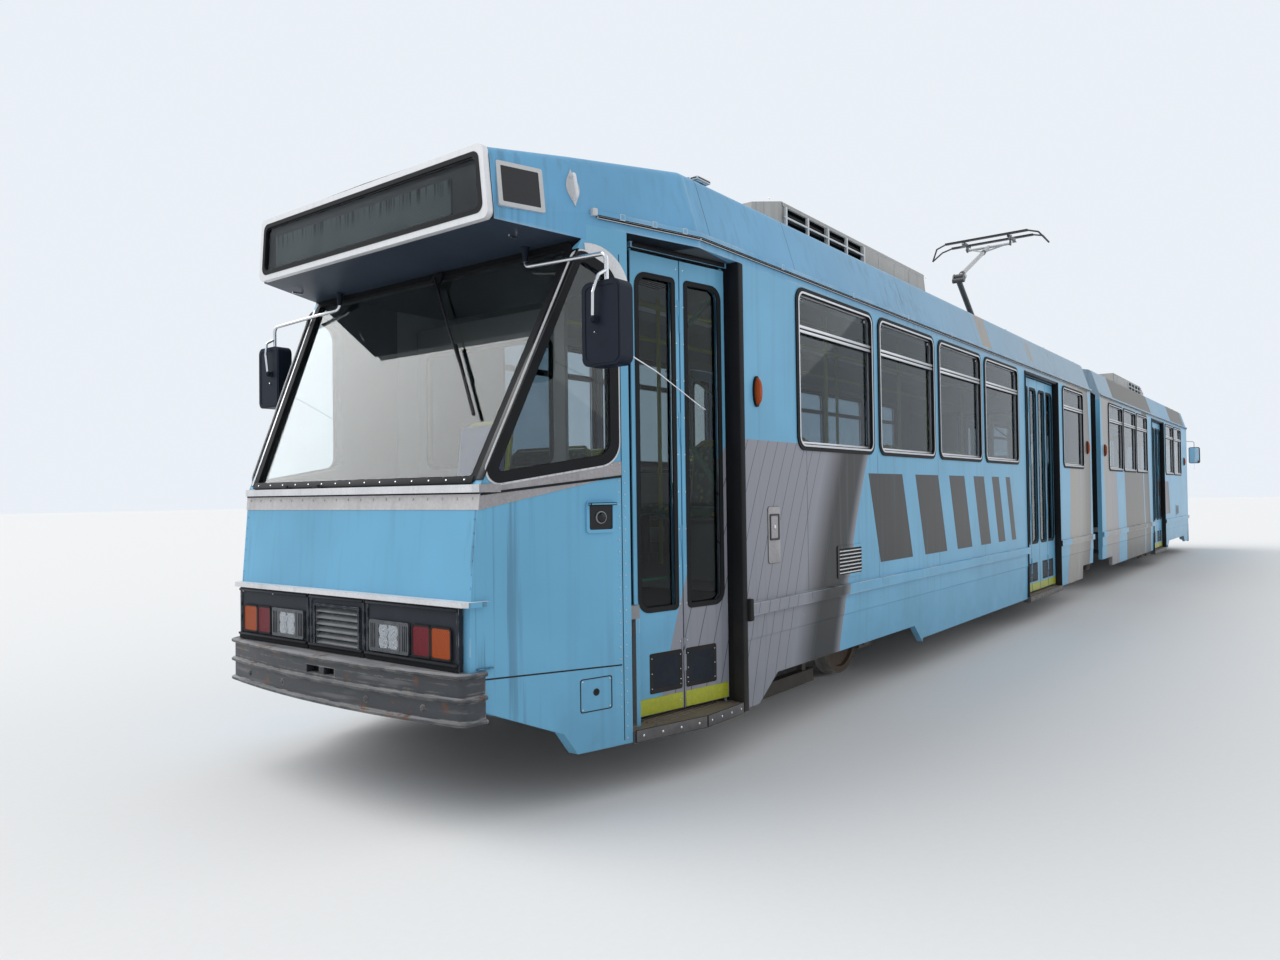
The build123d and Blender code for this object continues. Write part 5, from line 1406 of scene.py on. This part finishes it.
class TRAM_OT_side_fittings(bpy.types.Operator):
    """Adds side indicators, the vent, plates and bolts of the body sides"""
    bl_idname = "tram.side_fittings"
    bl_label = "Side fittings"

    SIDES = 24
    LENS = ((1.0, .012), (.94, .022), (.75, .032), (.45, .037))

    def execute(self, context):
        piece = Piece()
        for side in (1, -1):
            on = side_surface(side)
            for place in ((9.740, 2.085), (.610, 2.060)):
                piece.prism(ellipse(.040, .092, self.SIDES, place), 0, .012, "rubber", on)
                rings = [[on @ Vector((*p, w)) for p in ellipse(.032 * s, .084 * s, self.SIDES, place)]
                         for s, w in self.LENS]
                loops = [(k, (k + 1) % self.SIDES, (k + 1) % self.SIDES + self.SIDES, k + self.SIDES)
                         for k in range(self.SIDES)]
                for lower, upper in zip(rings, rings[1:]):
                    piece.faces(lower + upper, loops, "amber_lens")
                piece.faces(rings[-1], [range(self.SIDES)], "amber_lens")
            vent = rectangle(8.270, 8.660, .900, 1.100)
            piece.rim(vent, (-.012, .014), (.010, .006), 0, .007, "body_paint", on, 3)
            piece.prism(inset(vent, .004), 0, .0015, "grille", on)
            for v in spaced(.916, .025, 7):
                piece.box(8.282, 8.648, v, v + .012, .001, .0075, "roof_white", on, .002)
            rivets = [x for x in spaced(.50, .62, 15) if not any(
                s == side and a - .1 < x < b + .1 for s, a, b in SIDE_DOORWAYS)]
            piece.bolts(rivets, [.700], on, "almond", context.scene.tram_sizes.rivet)
        left = side_surface(1)
        slot = rectangle(9.492, 9.608, 1.195, 1.355)
        piece.plate(rectangle(9.475, 9.625, 1.055, 1.400), 0, .020, 0, .005, "grey_band", left, 4, .0015)
        piece.rim(slot, (0, .008), (.012, .005), .005, .010, "black_gloss", left, 3)
        piece.plate(slot, .012, .005, 0, .0065, "grey_band", left, 3)
        piece.lathe([(.012, 0), (.012, .004), (.009, .006), (0, .006)], "bright_steel",
                    at(left, 9.550, 1.275, .0065), 14)
        emit(piece, "side_fittings")
        return {"FINISHED"}


# Benches of the front section: side, stations, each facing the other way from the one before
BENCHES = [
    (1, (.900,)),
    (1, (4.365, 5.1975, 6.030, 6.8625, 7.695, 8.5275, 9.360)),
    (-1, (.900, 1.8175, 2.735, 3.6525, 4.570)),
    (-1, (7.236, 8.393, 9.550)),
]
BENCH_INNER = 0.400
BENCH_OUTER = 1.255
BENCH_WIDTH = BENCH_OUTER - BENCH_INNER
CUSHION_FOOT = 1.310
CUSHION_TOP = 1.400
BACK_TOP = 1.850
HEEL = 0.2103
BACK_LEAN = atan2(0.064, BACK_TOP - CUSHION_TOP)


def stuffed_mesh(name, size, edge, lift, channels, look):
    """Stuffed block: rounded at its edges, swollen by a pressure run held to a lift, then sewn in at its
    channels."""
    counts = [max(2, round(side / .030)) for side in size]
    bm = bmesh.new()
    found = {}

    def corner(key):
        if key not in found:
            spot = Vector([(key[a] / counts[a] - .5) * size[a] for a in range(3)])
            core = Vector([max(-size[a] / 2 + edge, min(size[a] / 2 - edge, spot[a])) for a in range(3)])
            out = spot - core
            found[key] = bm.verts.new(core + out.normalized() * min(edge, out.length))
        return found[key]

    for axis in range(3):
        first, second = [a for a in range(3) if a != axis]
        for end in (0, counts[axis]):
            for i in range(counts[first]):
                for j in range(counts[second]):
                    loop = []
                    for di, dj in ((0, 0), (1, 0), (1, 1), (0, 1)):
                        key = [0, 0, 0]
                        key[axis], key[first], key[second] = end, i + di, j + dj
                        loop.append(corner(tuple(key)))
                    bm.faces.new(loop)
    mesh = smooth_mesh(bm, name, [finish(look)])
    rest = [v.co.copy() for v in mesh.vertices]
    swollen = swell(mesh)
    for vertex, before, after in zip(mesh.vertices, rest, swollen):
        move = after - before
        if move.length > lift:
            move *= lift / move.length
        spot = before + move
        crown = max(0, 1 - (spot.x / size[0] * 2) ** 2) * max(0, 1 - (spot.y / size[1] * 2) ** 2)
        if spot.z > 0:
            spot.z += lift * .35 * crown
            for across, width, depth in channels:
                spot.z -= depth * exp(-((spot.y - across) / width) ** 2)
        else:
            spot.z = max(spot.z, -size[2] / 2)
        vertex.co = spot
    return mesh


def swell(mesh):
    """Where the points of a closed mesh lie after a short run of cloth pressure."""
    scene = bpy.context.scene
    obj = add_object("swelling", mesh)
    cloth = obj.modifiers.new("Cloth", "CLOTH")
    cloth.settings.use_pressure = True
    cloth.settings.uniform_pressure_force = 4
    cloth.settings.effector_weights.gravity = 0
    cloth.settings.tension_stiffness = cloth.settings.compression_stiffness = 12
    for step in range(1, 21):
        scene.frame_set(step)
    done = obj.evaluated_get(bpy.context.evaluated_depsgraph_get())
    spots = [v.co.copy() for v in done.data.vertices]
    bpy.data.objects.remove(obj)
    scene.frame_set(1)
    return spots


def place_padded(name, mesh, matrix):
    """The stuffed mesh in each section, turned half a turn for the rear one."""
    for car in SECTIONS:
        obj = add_object(f"{car}_{name}", mesh)
        turn = Matrix.Rotation(pi if car == "rear" else 0, 4, "Z")
        obj.matrix_world = Matrix.Translation((0, 0, RAIL)) @ turn @ matrix
        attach(obj, f"{car}_car")


class TRAM_OT_seats(bpy.types.Operator):
    """Builds the benches: stuffed cushions and backs on moulded shells with grab handles"""
    bl_idname = "tram.seats"
    bl_label = "Seats"

    def execute(self, context):
        seam = [(0, .016, .013)]
        cushion = stuffed_mesh("bench_cushion", (.400, BENCH_WIDTH - .03, .058), .022, .012, seam, "moquette")
        back = stuffed_mesh("bench_back", (.450, BENCH_WIDTH - .04, .026), .011, .010, seam, "moquette")
        shells = Piece()
        rows = [(side, x, 1 - 2 * (index % 2))
                for side, stations in BENCHES for index, x in enumerate(stations)]
        for number, (side, x, way) in enumerate(rows, 1):
            middle = side * (BENCH_INNER + BENCH_OUTER) / 2
            up = Vector((-way * sin(BACK_LEAN), 0, cos(BACK_LEAN)))
            out = Vector((way * cos(BACK_LEAN), 0, sin(BACK_LEAN)))
            foot = Vector((x - way * (HEEL + .036), middle, CUSHION_TOP - .03))
            place_padded(f"bench_cushion_{number:02d}", cushion,
                         Matrix.Translation((x, middle, CUSHION_TOP - .045)))
            place_padded(f"bench_back_{number:02d}", back, surface(foot + up * .235, -up, out, out.cross(-up)))
            self.shell(shells, level(x, middle, CUSHION_FOOT), surface(foot - out * .030, Y, out, up))
        emit(shells, "bench_shells", replaced=("seats",))
        return {"FINISHED"}

    def shell(self, piece, pan, rear):
        """Moulded pan and back of one bench, its pedestal and the handle along its top."""
        half = BENCH_WIDTH / 2
        edge = half - .002
        piece.plate(rectangle(-.206, .206, -edge, edge), 0, .03, 0, .014, "seat_shell", pan, 3, .004)
        piece.plate(rectangle(-edge, edge, -.055, .478), 0, .05, 0, .012, "lime_shell", rear, 4, .003)
        foot = FLOOR_TOP - CUSHION_FOOT + .005
        piece.boxes(pan, (-.118, -.088, -.26, .26, foot, 0, "seat_shell", .006),
                    (.088, .118, -.26, .26, foot, 0, "seat_shell", .006),
                    (-.118, .118, -.26, .26, -.03, 0, "seat_shell", .006))
        end = half - .05
        grip = [rear @ Vector((u, v, .006)) for u, v in ((-end, .40), (-end, .492), (end, .492), (end, .40))]
        piece.tube(softened(grip, .035), .011, "lime_pole", 8)


class TRAM_OT_cab_interior(bpy.types.Operator):
    """Builds the driver's desk, controls, seat and partition"""
    bl_idname = "tram.cab_interior"
    bl_label = "Cab interior"

    SEAT = Vector((HALF_LENGTH - 1.085, -.320, 1.320))
    SEAT_LEAN = atan2(.100, .680)
    DESK = (HALF_LENGTH - .805, HALF_LENGTH - .335)
    WALL = HALF_LENGTH - 1.695

    def execute(self, context):
        piece = Piece()
        self.desk(piece)
        seat, lean = self.SEAT, self.SEAT_LEAN
        pan = level(*seat)
        piece.plate(rectangle(-.225, .225, -.235, .235), 0, .05, 0, .020, "seat_shell", pan, 4, .005)
        piece.lathe([(.105, 0), (.105, .015), (.045, .030), (.045, .28), (.075, .30), (.075, .405)],
                    "cab_lining", at(pan, 0, 0, -.405), 20)
        up, out = Vector((-sin(lean), 0, cos(lean))), Vector((cos(lean), 0, sin(lean)))
        foot = seat + Vector((-.282, 0, .015))
        piece.plate(rectangle(-.225, .225, -.01, .645), 0, .09, 0, .018, "lime_shell",
                    surface(foot - out * .030, Y, out, up), 6, .004)
        wall = forward(self.WALL)
        hole = rectangle(-1.150, .060, 1.700, 2.500)
        piece.ring(rounded(rectangle(-1.265, .180, .915, 2.700), .03, 5), rounded(hole, .06, 5), 0, .030,
                   "lining", wall)
        piece.rim(hole, (-.018, .075), (.010, .05), -.004, .034, "rubber", wall, 5)
        piece.plate(hole, 0, .06, .013, .017, "side_glass", wall, 5)
        emit(piece, "cab_furniture", replaced=("cab_fittings",))
        for name, size, edge, across, place in (
                ("driver_cushion", (.430, .450, .060), .024, .12, Matrix.Translation((seat.x, seat.y, 1.375))),
                ("driver_back", (.600, .430, .050), .022, .11,
                 surface(foot + up * .325 + out * .012, -up, out, out.cross(-up)))):
            channels = [(-across, .014, .008), (across, .014, .008)]
            place_padded(name, stuffed_mesh(name, size, edge, .014, channels, "driver_cloth"), place)
        return {"FINISHED"}

    def desk(self, piece):
        """Desk with its screens, lamps and the driving lever."""
        rear, front = self.DESK
        desk = [(rear, .915), (rear, 1.400), (rear + .190, 1.440), (front, 1.480), (front, .915)]
        piece.prism(desk, -.850, .850, "cab_lining", surface((0, 0, 0), X, Y), .010)
        top = surface((rear + .01, 0, 1.402), Y, (-.04, 0, .19), (.19, 0, .04))
        for u0, u1, v1, w in ((-.30, .10, .17, .010), (.16, .46, .17, .010), (-.80, -.36, .16, .007)):
            piece.box(u0, u1, .02, v1, 0, w, "grey_bezel", top, .003)
            piece.box(u0 + .010, u1 - .010, .030, v1 - .010, w, w + .003, "black_gloss", top, .001)
        looks = ("amber_lens", "red_lens", "roof_white", "green_pole")
        for k, u in enumerate(spaced(-.76, .028, 12) + [.52, .57]):
            piece.lathe([(.009, 0), (.009, .006), (.006, .009), (0, .010)], looks[k % 4],
                        at(top, u, .09, .010), 10)
        lever = [(.045, 0), (.045, .010), (.012, .016), (.009, .085), (.022, .095), (.024, .112), (0, .120)]
        piece.lathe(lever, "black_gloss", at(top, .62, .10), 14)


class TRAM_OT_saloon(bpy.types.Operator):
    """Adds the saloon's ceiling lights and vents, heater boxes and wall rails"""
    bl_idname = "tram.saloon"
    bl_label = "Saloon fittings"

    CEILING = 3.098
    WALL = 1.272

    def execute(self, context):
        piece = Piece()
        ceiling = surface((0, 0, self.CEILING), X, (0, 0, -1), Y)
        for x in spaced(.75, 1.29, 7):
            for v in (.52, -.66):
                piece.boxes(ceiling, (x, x + 1.18, v, v + .14, 0, .030, "diffuser", .010),
                            (x - .02, x, v - .01, v + .15, 0, .034, "aluminium", .004))
            piece.box(x + .2, x + .9, -.14, .14, 0, .012, "aluminium", ceiling, .004)
            for v in spaced(-.12, .037, 7):
                piece.box(x + .23, x + .87, v, v + .015, .012, .016, "grille", ceiling)
        for side, rear, front in ((1, .40, 2.20), (1, 3.87, 9.85), (-1, .40, 5.07), (-1, 6.74, 10.05)):
            piece.boxes(surface((0, side * self.WALL, 0), X, (0, -side, 0)),
                        (rear, front, 1.02, 1.16, 0, .012, "aluminium", .004),
                        (rear, front, 1.690, 1.735, 0, .016, "cab_lining", .005))
        emit(piece, "saloon_fittings")
        return {"FINISHED"}


class TRAM_OT_bellows(bpy.types.Operator):
    """Builds the folded bellows between the sections and the header above it"""
    bl_idname = "tram.bellows"
    bl_label = "Bellows"

    HALF_RUN = .3297
    HALF = 1.213
    FOOT = .914
    TOP = 2.788
    DIP = .044
    THICKNESS = .007
    FOLDS = 9
    PER_FOLD = 6

    def execute(self, context):
        header = Piece()
        across = surface((.382, 0, 0), (0, -1, 0), (-1, 0, 0))
        outline = [(1.268, 2.690), (1.268, 2.874), (.996, 3.092), (-.996, 3.092), (-1.268, 2.874),
                   (-1.268, 2.690)]
        # Outer plate in black: painted shade of the gap above the bellows
        header.prism(outline, -.010, 0, "black_paint", across, .002)
        header.prism(inset(outline, .003), -.020, -.010, "lining", across, .002)
        header.bolts(spaced(-.9, .225, 9), [3.060], across)
        emit(header, "bellows_header")
        self.folds()
        return {"FINISHED"}

    def folds(self):
        """One sheet with a thickness, gathered into rounded folds along its run."""
        half, top, foot = self.HALF, self.TOP, self.FOOT
        path = softened([(half, foot), (half, top), (-half, top), (-half, foot)], .13, 7)
        spots = []
        for a, b in zip(path, path[1:]):
            pieces = max(1, round((b - a).length / .12))
            spots += [a.lerp(b, t / pieces) for t in range(pieces)]
        spots.append(path[-1])
        points, loops = [], []
        stations = self.FOLDS * self.PER_FOLD
        for layer in (0, self.THICKNESS):
            for t in spaced(0, 1 / stations, stations + 1):
                inward = self.DIP * (.5 - .5 * cos(2 * pi * self.FOLDS * t)) ** .7 + layer
                for spot in spots:
                    y = spot.x - copysign(min(inward, abs(spot.x)), spot.x) * min(1, abs(spot.x) / .3)
                    z = spot.y - inward * max(0, min(1, (spot.y - 2.5) / (top - 2.5)))
                    points.append(Vector((self.HALF_RUN * (1 - 2 * t), y, z)))
        row = len(spots)
        sheet = (stations + 1) * row
        for k in range(stations):
            for a in range(k * row, k * row + row - 1):
                loops += [(a, a + 1, a + row + 1, a + row),
                          (a + sheet, a + row + sheet, a + row + 1 + sheet, a + 1 + sheet)]
            loops += [(a, a + row, a + row + sheet, a + sheet) for a in (k * row, k * row + row - 1)]
        loops += [(a + j, a + j + 1, a + j + 1 + sheet, a + j + sheet) for a in (0, stations * row)
                  for j in range(row - 1)]
        cloth = Piece()
        cloth.faces(points, loops, "bellows_cloth")
        obj = add_object("bellows_folds", cloth.mesh("bellows_folds"))
        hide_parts("bellows")
        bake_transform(obj)


class TRAM_OT_roof_fittings(bpy.types.Operator):
    """Adds the roof's equipment rails, seams, hatches, conduits and markers"""
    bl_idname = "tram.roof_fittings"
    bl_label = "Roof fittings"

    HOUSING_HALF = .700
    DRIP_SEAL_AND_SHADE = (2.858, 2.873)
    GUTTER_CLIP = (2.870, 2.902)

    def execute(self, context):
        piece = Piece()
        for side in (1, -1):
            on = side_surface(side, self.HOUSING_HALF)
            piece.boxes(on, (6.70, 8.20, 3.612, 3.628, .010, .024, "roof_white", .004),
                        *[(x - .012, x + .012, 3.545, 3.700, 0, .026, "roof_white", .004)
                          for x in spaced(6.70, .3675, 5)],
                        (5.19, 6.69, 3.530, 3.704, 0, .008, "housing", .003),
                        *[(x, x + .030, 3.535, 3.700, .008, .011, "housing", .002)
                          for x in (5.56, 5.94, 6.32)],
                        (5.16, 8.20, 3.705, 3.735, 0, .010, "housing", .003))
            piece.bolts(spaced(5.10, .30, 12), [3.715], on, radius=.007)
            for x in (.62, 2.28, 3.94, 9.30, 10.20):
                piece.tube([(x, side * 1.19, 3.268), (x, side * .67, 3.366), (x, 0, 3.391)], .006,
                           "fascia_paint", 6)
            for x in spaced(.55, .62, 16):
                spot = on_node("front_roof", (x, side * 2.0, 3.235), (0, -side, 0))
                piece.bolts([0], [0], spot, "almond", .006)
            # Rubber seal under the gutter, which also stands for the shade under it as a painted shadow
            piece.box(.42, BEND_X, *self.DRIP_SEAL_AND_SHADE, 0, .014, "rubber", side_surface(side), .003)
            piece.box(BEND_X, 10.98, *self.DRIP_SEAL_AND_SHADE, 0, .014, "rubber", taper_surface(side), .003)
        for x0, x1, half in ((2.10, 3.10, .30), (3.45, 4.30, .32), (9.15, 9.75, .28)):
            piece.box(x0, x1, -half, half, 3.372, 3.425, "fascia_paint", bevel=.012)
            piece.box(x0 + .08, x1 - .08, .08 - half, half - .08, 3.425, 3.436, "housing", bevel=.005)
        conduit = [(1.72, .42, 3.55), (1.72, .42, 3.425), (3.0, .52, 3.415), (4.99, .52, 3.43),
                   (5.03, .52, 3.47)]
        piece.tube(softened(conduit, .08), .019, "pan_dark")
        for x in (2.2, 2.9, 3.6, 4.3, 4.8):
            piece.box(x - .02, x + .02, .47, .57, 3.36, 3.442, "aluminium", bevel=.006)
        marker = [(9.70, .985, 3.310), (9.76, .985, 3.310), (9.76, .985, 3.400)]
        piece.tube(softened(marker, .02, 3), .010, "black_paint", 8)
        piece.box(9.700, 9.850, .955, 1.015, 3.400, 3.424, "black_paint", bevel=.008)
        piece.box(9.715, 9.835, .965, 1.005, 3.394, 3.401, "grey_bezel", bevel=.003)
        for x in spaced(9.40, -1.05, 9):
            piece.box(x, x + .03, *self.GUTTER_CLIP, -.012, .003, "fascia_paint", side_surface(1, 1.355),
                      .003)
        for x in (10.42, 10.62, 10.82):
            piece.box(x, x + .03, *self.GUTTER_CLIP, -.004, .022, "fascia_paint", taper_surface(1), .003)
        piece.box(10.985, 11.012, 2.868, 2.904, -.004, .024, "almond", taper_surface(1), .004)
        emit(piece, "roof_fittings")
        return {"FINISHED"}


class TRAM_OT_underframe(bpy.types.Operator):
    """Adds lids, latches, conduits and a reservoir under the floor"""
    bl_idname = "tram.underframe"
    bl_label = "Underframe"

    def execute(self, context):
        piece = Piece()
        for low, high, _ in islands("front_floor"):
            if high.z > .74 or high.x - low.x < .5:
                continue
            for side, y in ((1, high.y), (-1, low.y)):
                on = surface((0, y, 0), X, (0, side, 0))
                lid = rectangle(low.x, high.x, low.z, high.z)
                piece.plate(lid, .035, .02, 0, .008, "underframe", on, 3, .002)
                for u in (low.x + .15, high.x - .15):
                    piece.box(u - .02, u + .02, high.z - .07, high.z - .02, .008, .020, "bogie_iron", on, .004)
        for y in (-.30, .30):
            piece.tube([(.6, y, .800), (11.0, y, .800)], .016, "underframe", 8)
        for x in (2.5, 3.4):
            piece.lathe([(0, 0), (.08, .01), (.125, .04), (.125, .66), (.08, .69), (0, .70)], "underframe",
                        forward(x, 0, .620), 20)
        emit(piece, "underframe_fittings")
        return {"FINISHED"}


class TRAM_OT_running_gear(bpy.types.Operator):
    """Finishes the wheelsets and bogie frames and adds springs and axle box covers"""
    bl_idname = "tram.running_gear"
    bl_label = "Running gear"

    BOGIES = (("front", 8.4), ("middle", 0.0), ("rear", -8.4))
    HALF_BASE = .9
    AXLE = .33

    def execute(self, context):
        for place, x in self.BOGIES:
            hubs = (x + self.HALF_BASE, x - self.HALF_BASE)
            dress(f"{place}_bogie_frame", "bogie_iron", ("wheel_tread", lambda f: f.high < .03))
            for number, hub in enumerate(hubs, 1):
                def radius(f, hub=hub):
                    return hypot(f.x - hub, f.z - self.AXLE)
                dress(f"{place}_wheelset_{number}", "wheel_web",
                      ("wheel_tread", lambda f, r=radius: r(f) > .318 and f.wide > .69),
                      ("wheel_tread", lambda f, r=radius: .08 < r(f) < .212 and .37 < f.y < .42))
            piece = Piece()
            for hub in reversed(hubs):
                for side in (1, -1):
                    cover = surface((hub, side * 1.0105, self.AXLE), X, (0, side, 0))
                    piece.lathe([(.088, 0), (.088, .012), (.070, .022), (.034, .026), (0, .027)], "bogie_iron",
                                cover, 20)
                    for u, v in ellipse(.074, .074, 6):
                        piece.bolts([u], [v], cover, "wheel_web", .009, .012)
                    for spring in (hub - .165, hub + .165):
                        coil = helix(spring, side * .950, .310, .038, .8, .0042, 29)
                        piece.tube(coil, .0085, "bogie_iron", 6)
            emit(piece, f"{place}_bogie_fittings", f"{place}_bogie", ("",))
        return {"FINISHED"}


class TRAM_OT_pantograph(bpy.types.Operator):
    """Finishes the pantograph and adds its collars, pins and springs"""
    bl_idname = "tram.pantograph"
    bl_label = "Pantograph"

    FOOT = Vector((.900, 0, 3.700))
    KNEE = Vector((1.800, 0, 4.450))
    HEAD = Vector((.420, 0, 5.150))

    def execute(self, context):
        dress_islands("pantograph_base", "pan_dark",
                      ("insulator", lambda low, high: high.x - low.x < .12 and high.y - low.y < .12))
        dress("pantograph_lower_arm", "pan_dark")
        dress("pantograph_upper_arm", "pan_light", ("pan_dark", lambda f: f.x > 1.70))
        dress("pantograph_head", "pan_dark", ("carbon", lambda f: f.high > 5.275 and f.wide < .6))
        foot, knee, head = self.FOOT, self.KNEE, self.HEAD
        lower, upper, bow = Piece(), Piece(), Piece()
        lower.tube([foot.lerp(knee, .10), foot.lerp(knee, .15)], .044, "pan_dark", 14)
        for low, high, radius in ((.06, .10, .038), (.78, .82, .036)):
            upper.tube([knee.lerp(head, low), knee.lerp(head, high)], radius, "pan_dark", 14)
        for side in (1, -1):
            pin = surface((knee.x, side * .080, knee.z), X, (0, side, 0))
            lower.lathe([(.034, 0), (.034, .006), (.024, .012), (.012, .014), (0, .014)], "pan_light", pin)
            for x in (head.x - .10, head.x + .10):
                y = side * .345
                bow.tube(helix(x, y, 5.196, .020, .9, .0016, 36), .0045, "pan_light", 6)
                bow.box(x - .028, x + .028, y - .028, y + .028, 5.186, 5.195, "pan_dark", bevel=.002)
        for piece, part, name in ((lower, "lower_arm", "lower_arm_collars"),
                                  (upper, "upper_arm", "upper_arm_collars"), (bow, "head", "head_springs")):
            emit(piece, name, f"pantograph_{part}", ("front",))
        return {"FINISHED"}


def studio_floor(g, place, tone):
    """Pale floor with a faint speckle."""
    speck = g.step(g.noise(place, 30.0, 3), 0.3, 0.7)
    return {"Base Color": g.mix(speck, (tone * .985,) * 3, (tone, tone, tone * 1.005)), "Roughness": 0.9}


def world_light(strength):
    """Even studio sky that a camera, a reflection and a pane of glass see as white."""
    world = bpy.data.worlds.new("studio")
    bpy.context.scene.world = world
    world.use_nodes = True
    world.node_tree.nodes.clear()
    g = Graph(world.node_tree)
    path = g.node("LightPath").outputs
    seen = g.math("MAXIMUM", path["Is Camera Ray"],
                  g.math("MAXIMUM", path["Is Glossy Ray"], path["Is Transmission Ray"]))
    light = g.node("Background", {"Color": (.92, .96, 1.0), "Strength": strength})
    backdrop = g.node("Background", {"Color": (.87, .92, .98), "Strength": 0.95})
    mixed = g.node("MixShader", {0: seen, 1: light.outputs[0], 2: backdrop.outputs[0]})
    g.node("OutputWorld", {"Surface": mixed.outputs[0]})


class TRAM_OT_stage(bpy.types.Operator):
    """Sets the floor, the lights and the camera"""
    bl_idname = "tram.stage"
    bl_label = "Stage"

    REACH = 150

    def execute(self, context):
        settings = context.scene.tram_stage
        mesh = bpy.data.meshes.new("studio_floor")
        corners = [(u, v, 0) for u, v in rectangle(-self.REACH, self.REACH, -self.REACH, self.REACH)]
        mesh.from_pydata(corners, [], [range(4)])
        mesh.materials.append(make_material("studio_floor", studio_floor, settings.floor_tone))
        add_object("studio_floor", mesh)
        world_light(settings.sky)
        for name, strength, turn, spread in (("key", settings.sun, (38, 24, 0), 56),
                                             ("fill", settings.sun * .25, (62, 0, -140), 60)):
            light = bpy.data.lights.new(name, "SUN")
            light.energy = strength
            light.angle = radians(spread)
            light.color = (1.0, .985, .96)
            add_object(name, light).rotation_euler = [radians(a) for a in turn]
        yaw, pitch, roll = settings.yaw, settings.pitch, settings.roll
        ahead = Vector((-cos(yaw) * cos(pitch), -sin(yaw) * cos(pitch), sin(pitch)))
        right = Vector((-sin(yaw), cos(yaw), 0))
        above = right.cross(ahead)
        axes = Matrix((right * cos(roll) + above * sin(roll), above * cos(roll) - right * sin(roll), -ahead))
        data = bpy.data.cameras.new("camera")
        data.sensor_width = 36
        data.lens = settings.lens
        data.clip_end = 400
        camera = add_object("camera", data)
        camera.matrix_world = Matrix.Translation(settings.camera_place) @ axes.transposed().to_4x4()
        context.scene.camera = camera
        context.scene.view_settings.view_transform = "Standard"
        return {"FINISHED"}


OPERATORS = [
    TRAM_OT_shell, TRAM_OT_windows, TRAM_OT_doors, TRAM_OT_doorways, TRAM_OT_cab_front, TRAM_OT_destination,
    TRAM_OT_lamps, TRAM_OT_bumper, TRAM_OT_mirrors, TRAM_OT_side_fittings, TRAM_OT_seats,
    TRAM_OT_cab_interior, TRAM_OT_saloon, TRAM_OT_bellows, TRAM_OT_roof_fittings, TRAM_OT_underframe,
    TRAM_OT_running_gear, TRAM_OT_pantograph, TRAM_OT_stage,
]


class TRAM_PT_panel(bpy.types.Panel):
    """Lists the steps that dress the tram"""
    bl_idname = "TRAM_PT_panel"
    bl_label = "Tram"
    bl_space_type = "VIEW_3D"
    bl_region_type = "UI"
    bl_category = "Tram"

    def draw(self, context):
        for operator in OPERATORS:
            self.layout.operator(operator.bl_idname)


CLASSES = [TramColours, TramSizes, TramStage] + OPERATORS + [TRAM_PT_panel]
SETTINGS = {"tram_colours": TramColours, "tram_sizes": TramSizes, "tram_stage": TramStage}


def register():
    for cls in CLASSES:
        bpy.utils.register_class(cls)
    for name, group in SETTINGS.items():
        setattr(bpy.types.Scene, name, PointerProperty(type=group))


def unregister():
    for name in SETTINGS:
        delattr(bpy.types.Scene, name)
    for cls in reversed(CLASSES):
        bpy.utils.unregister_class(cls)


def main():
    register()
    for operator in OPERATORS:
        group, name = operator.bl_idname.split(".")
        getattr(getattr(bpy.ops, group), name)()


if __name__ == "__main__":
    main()
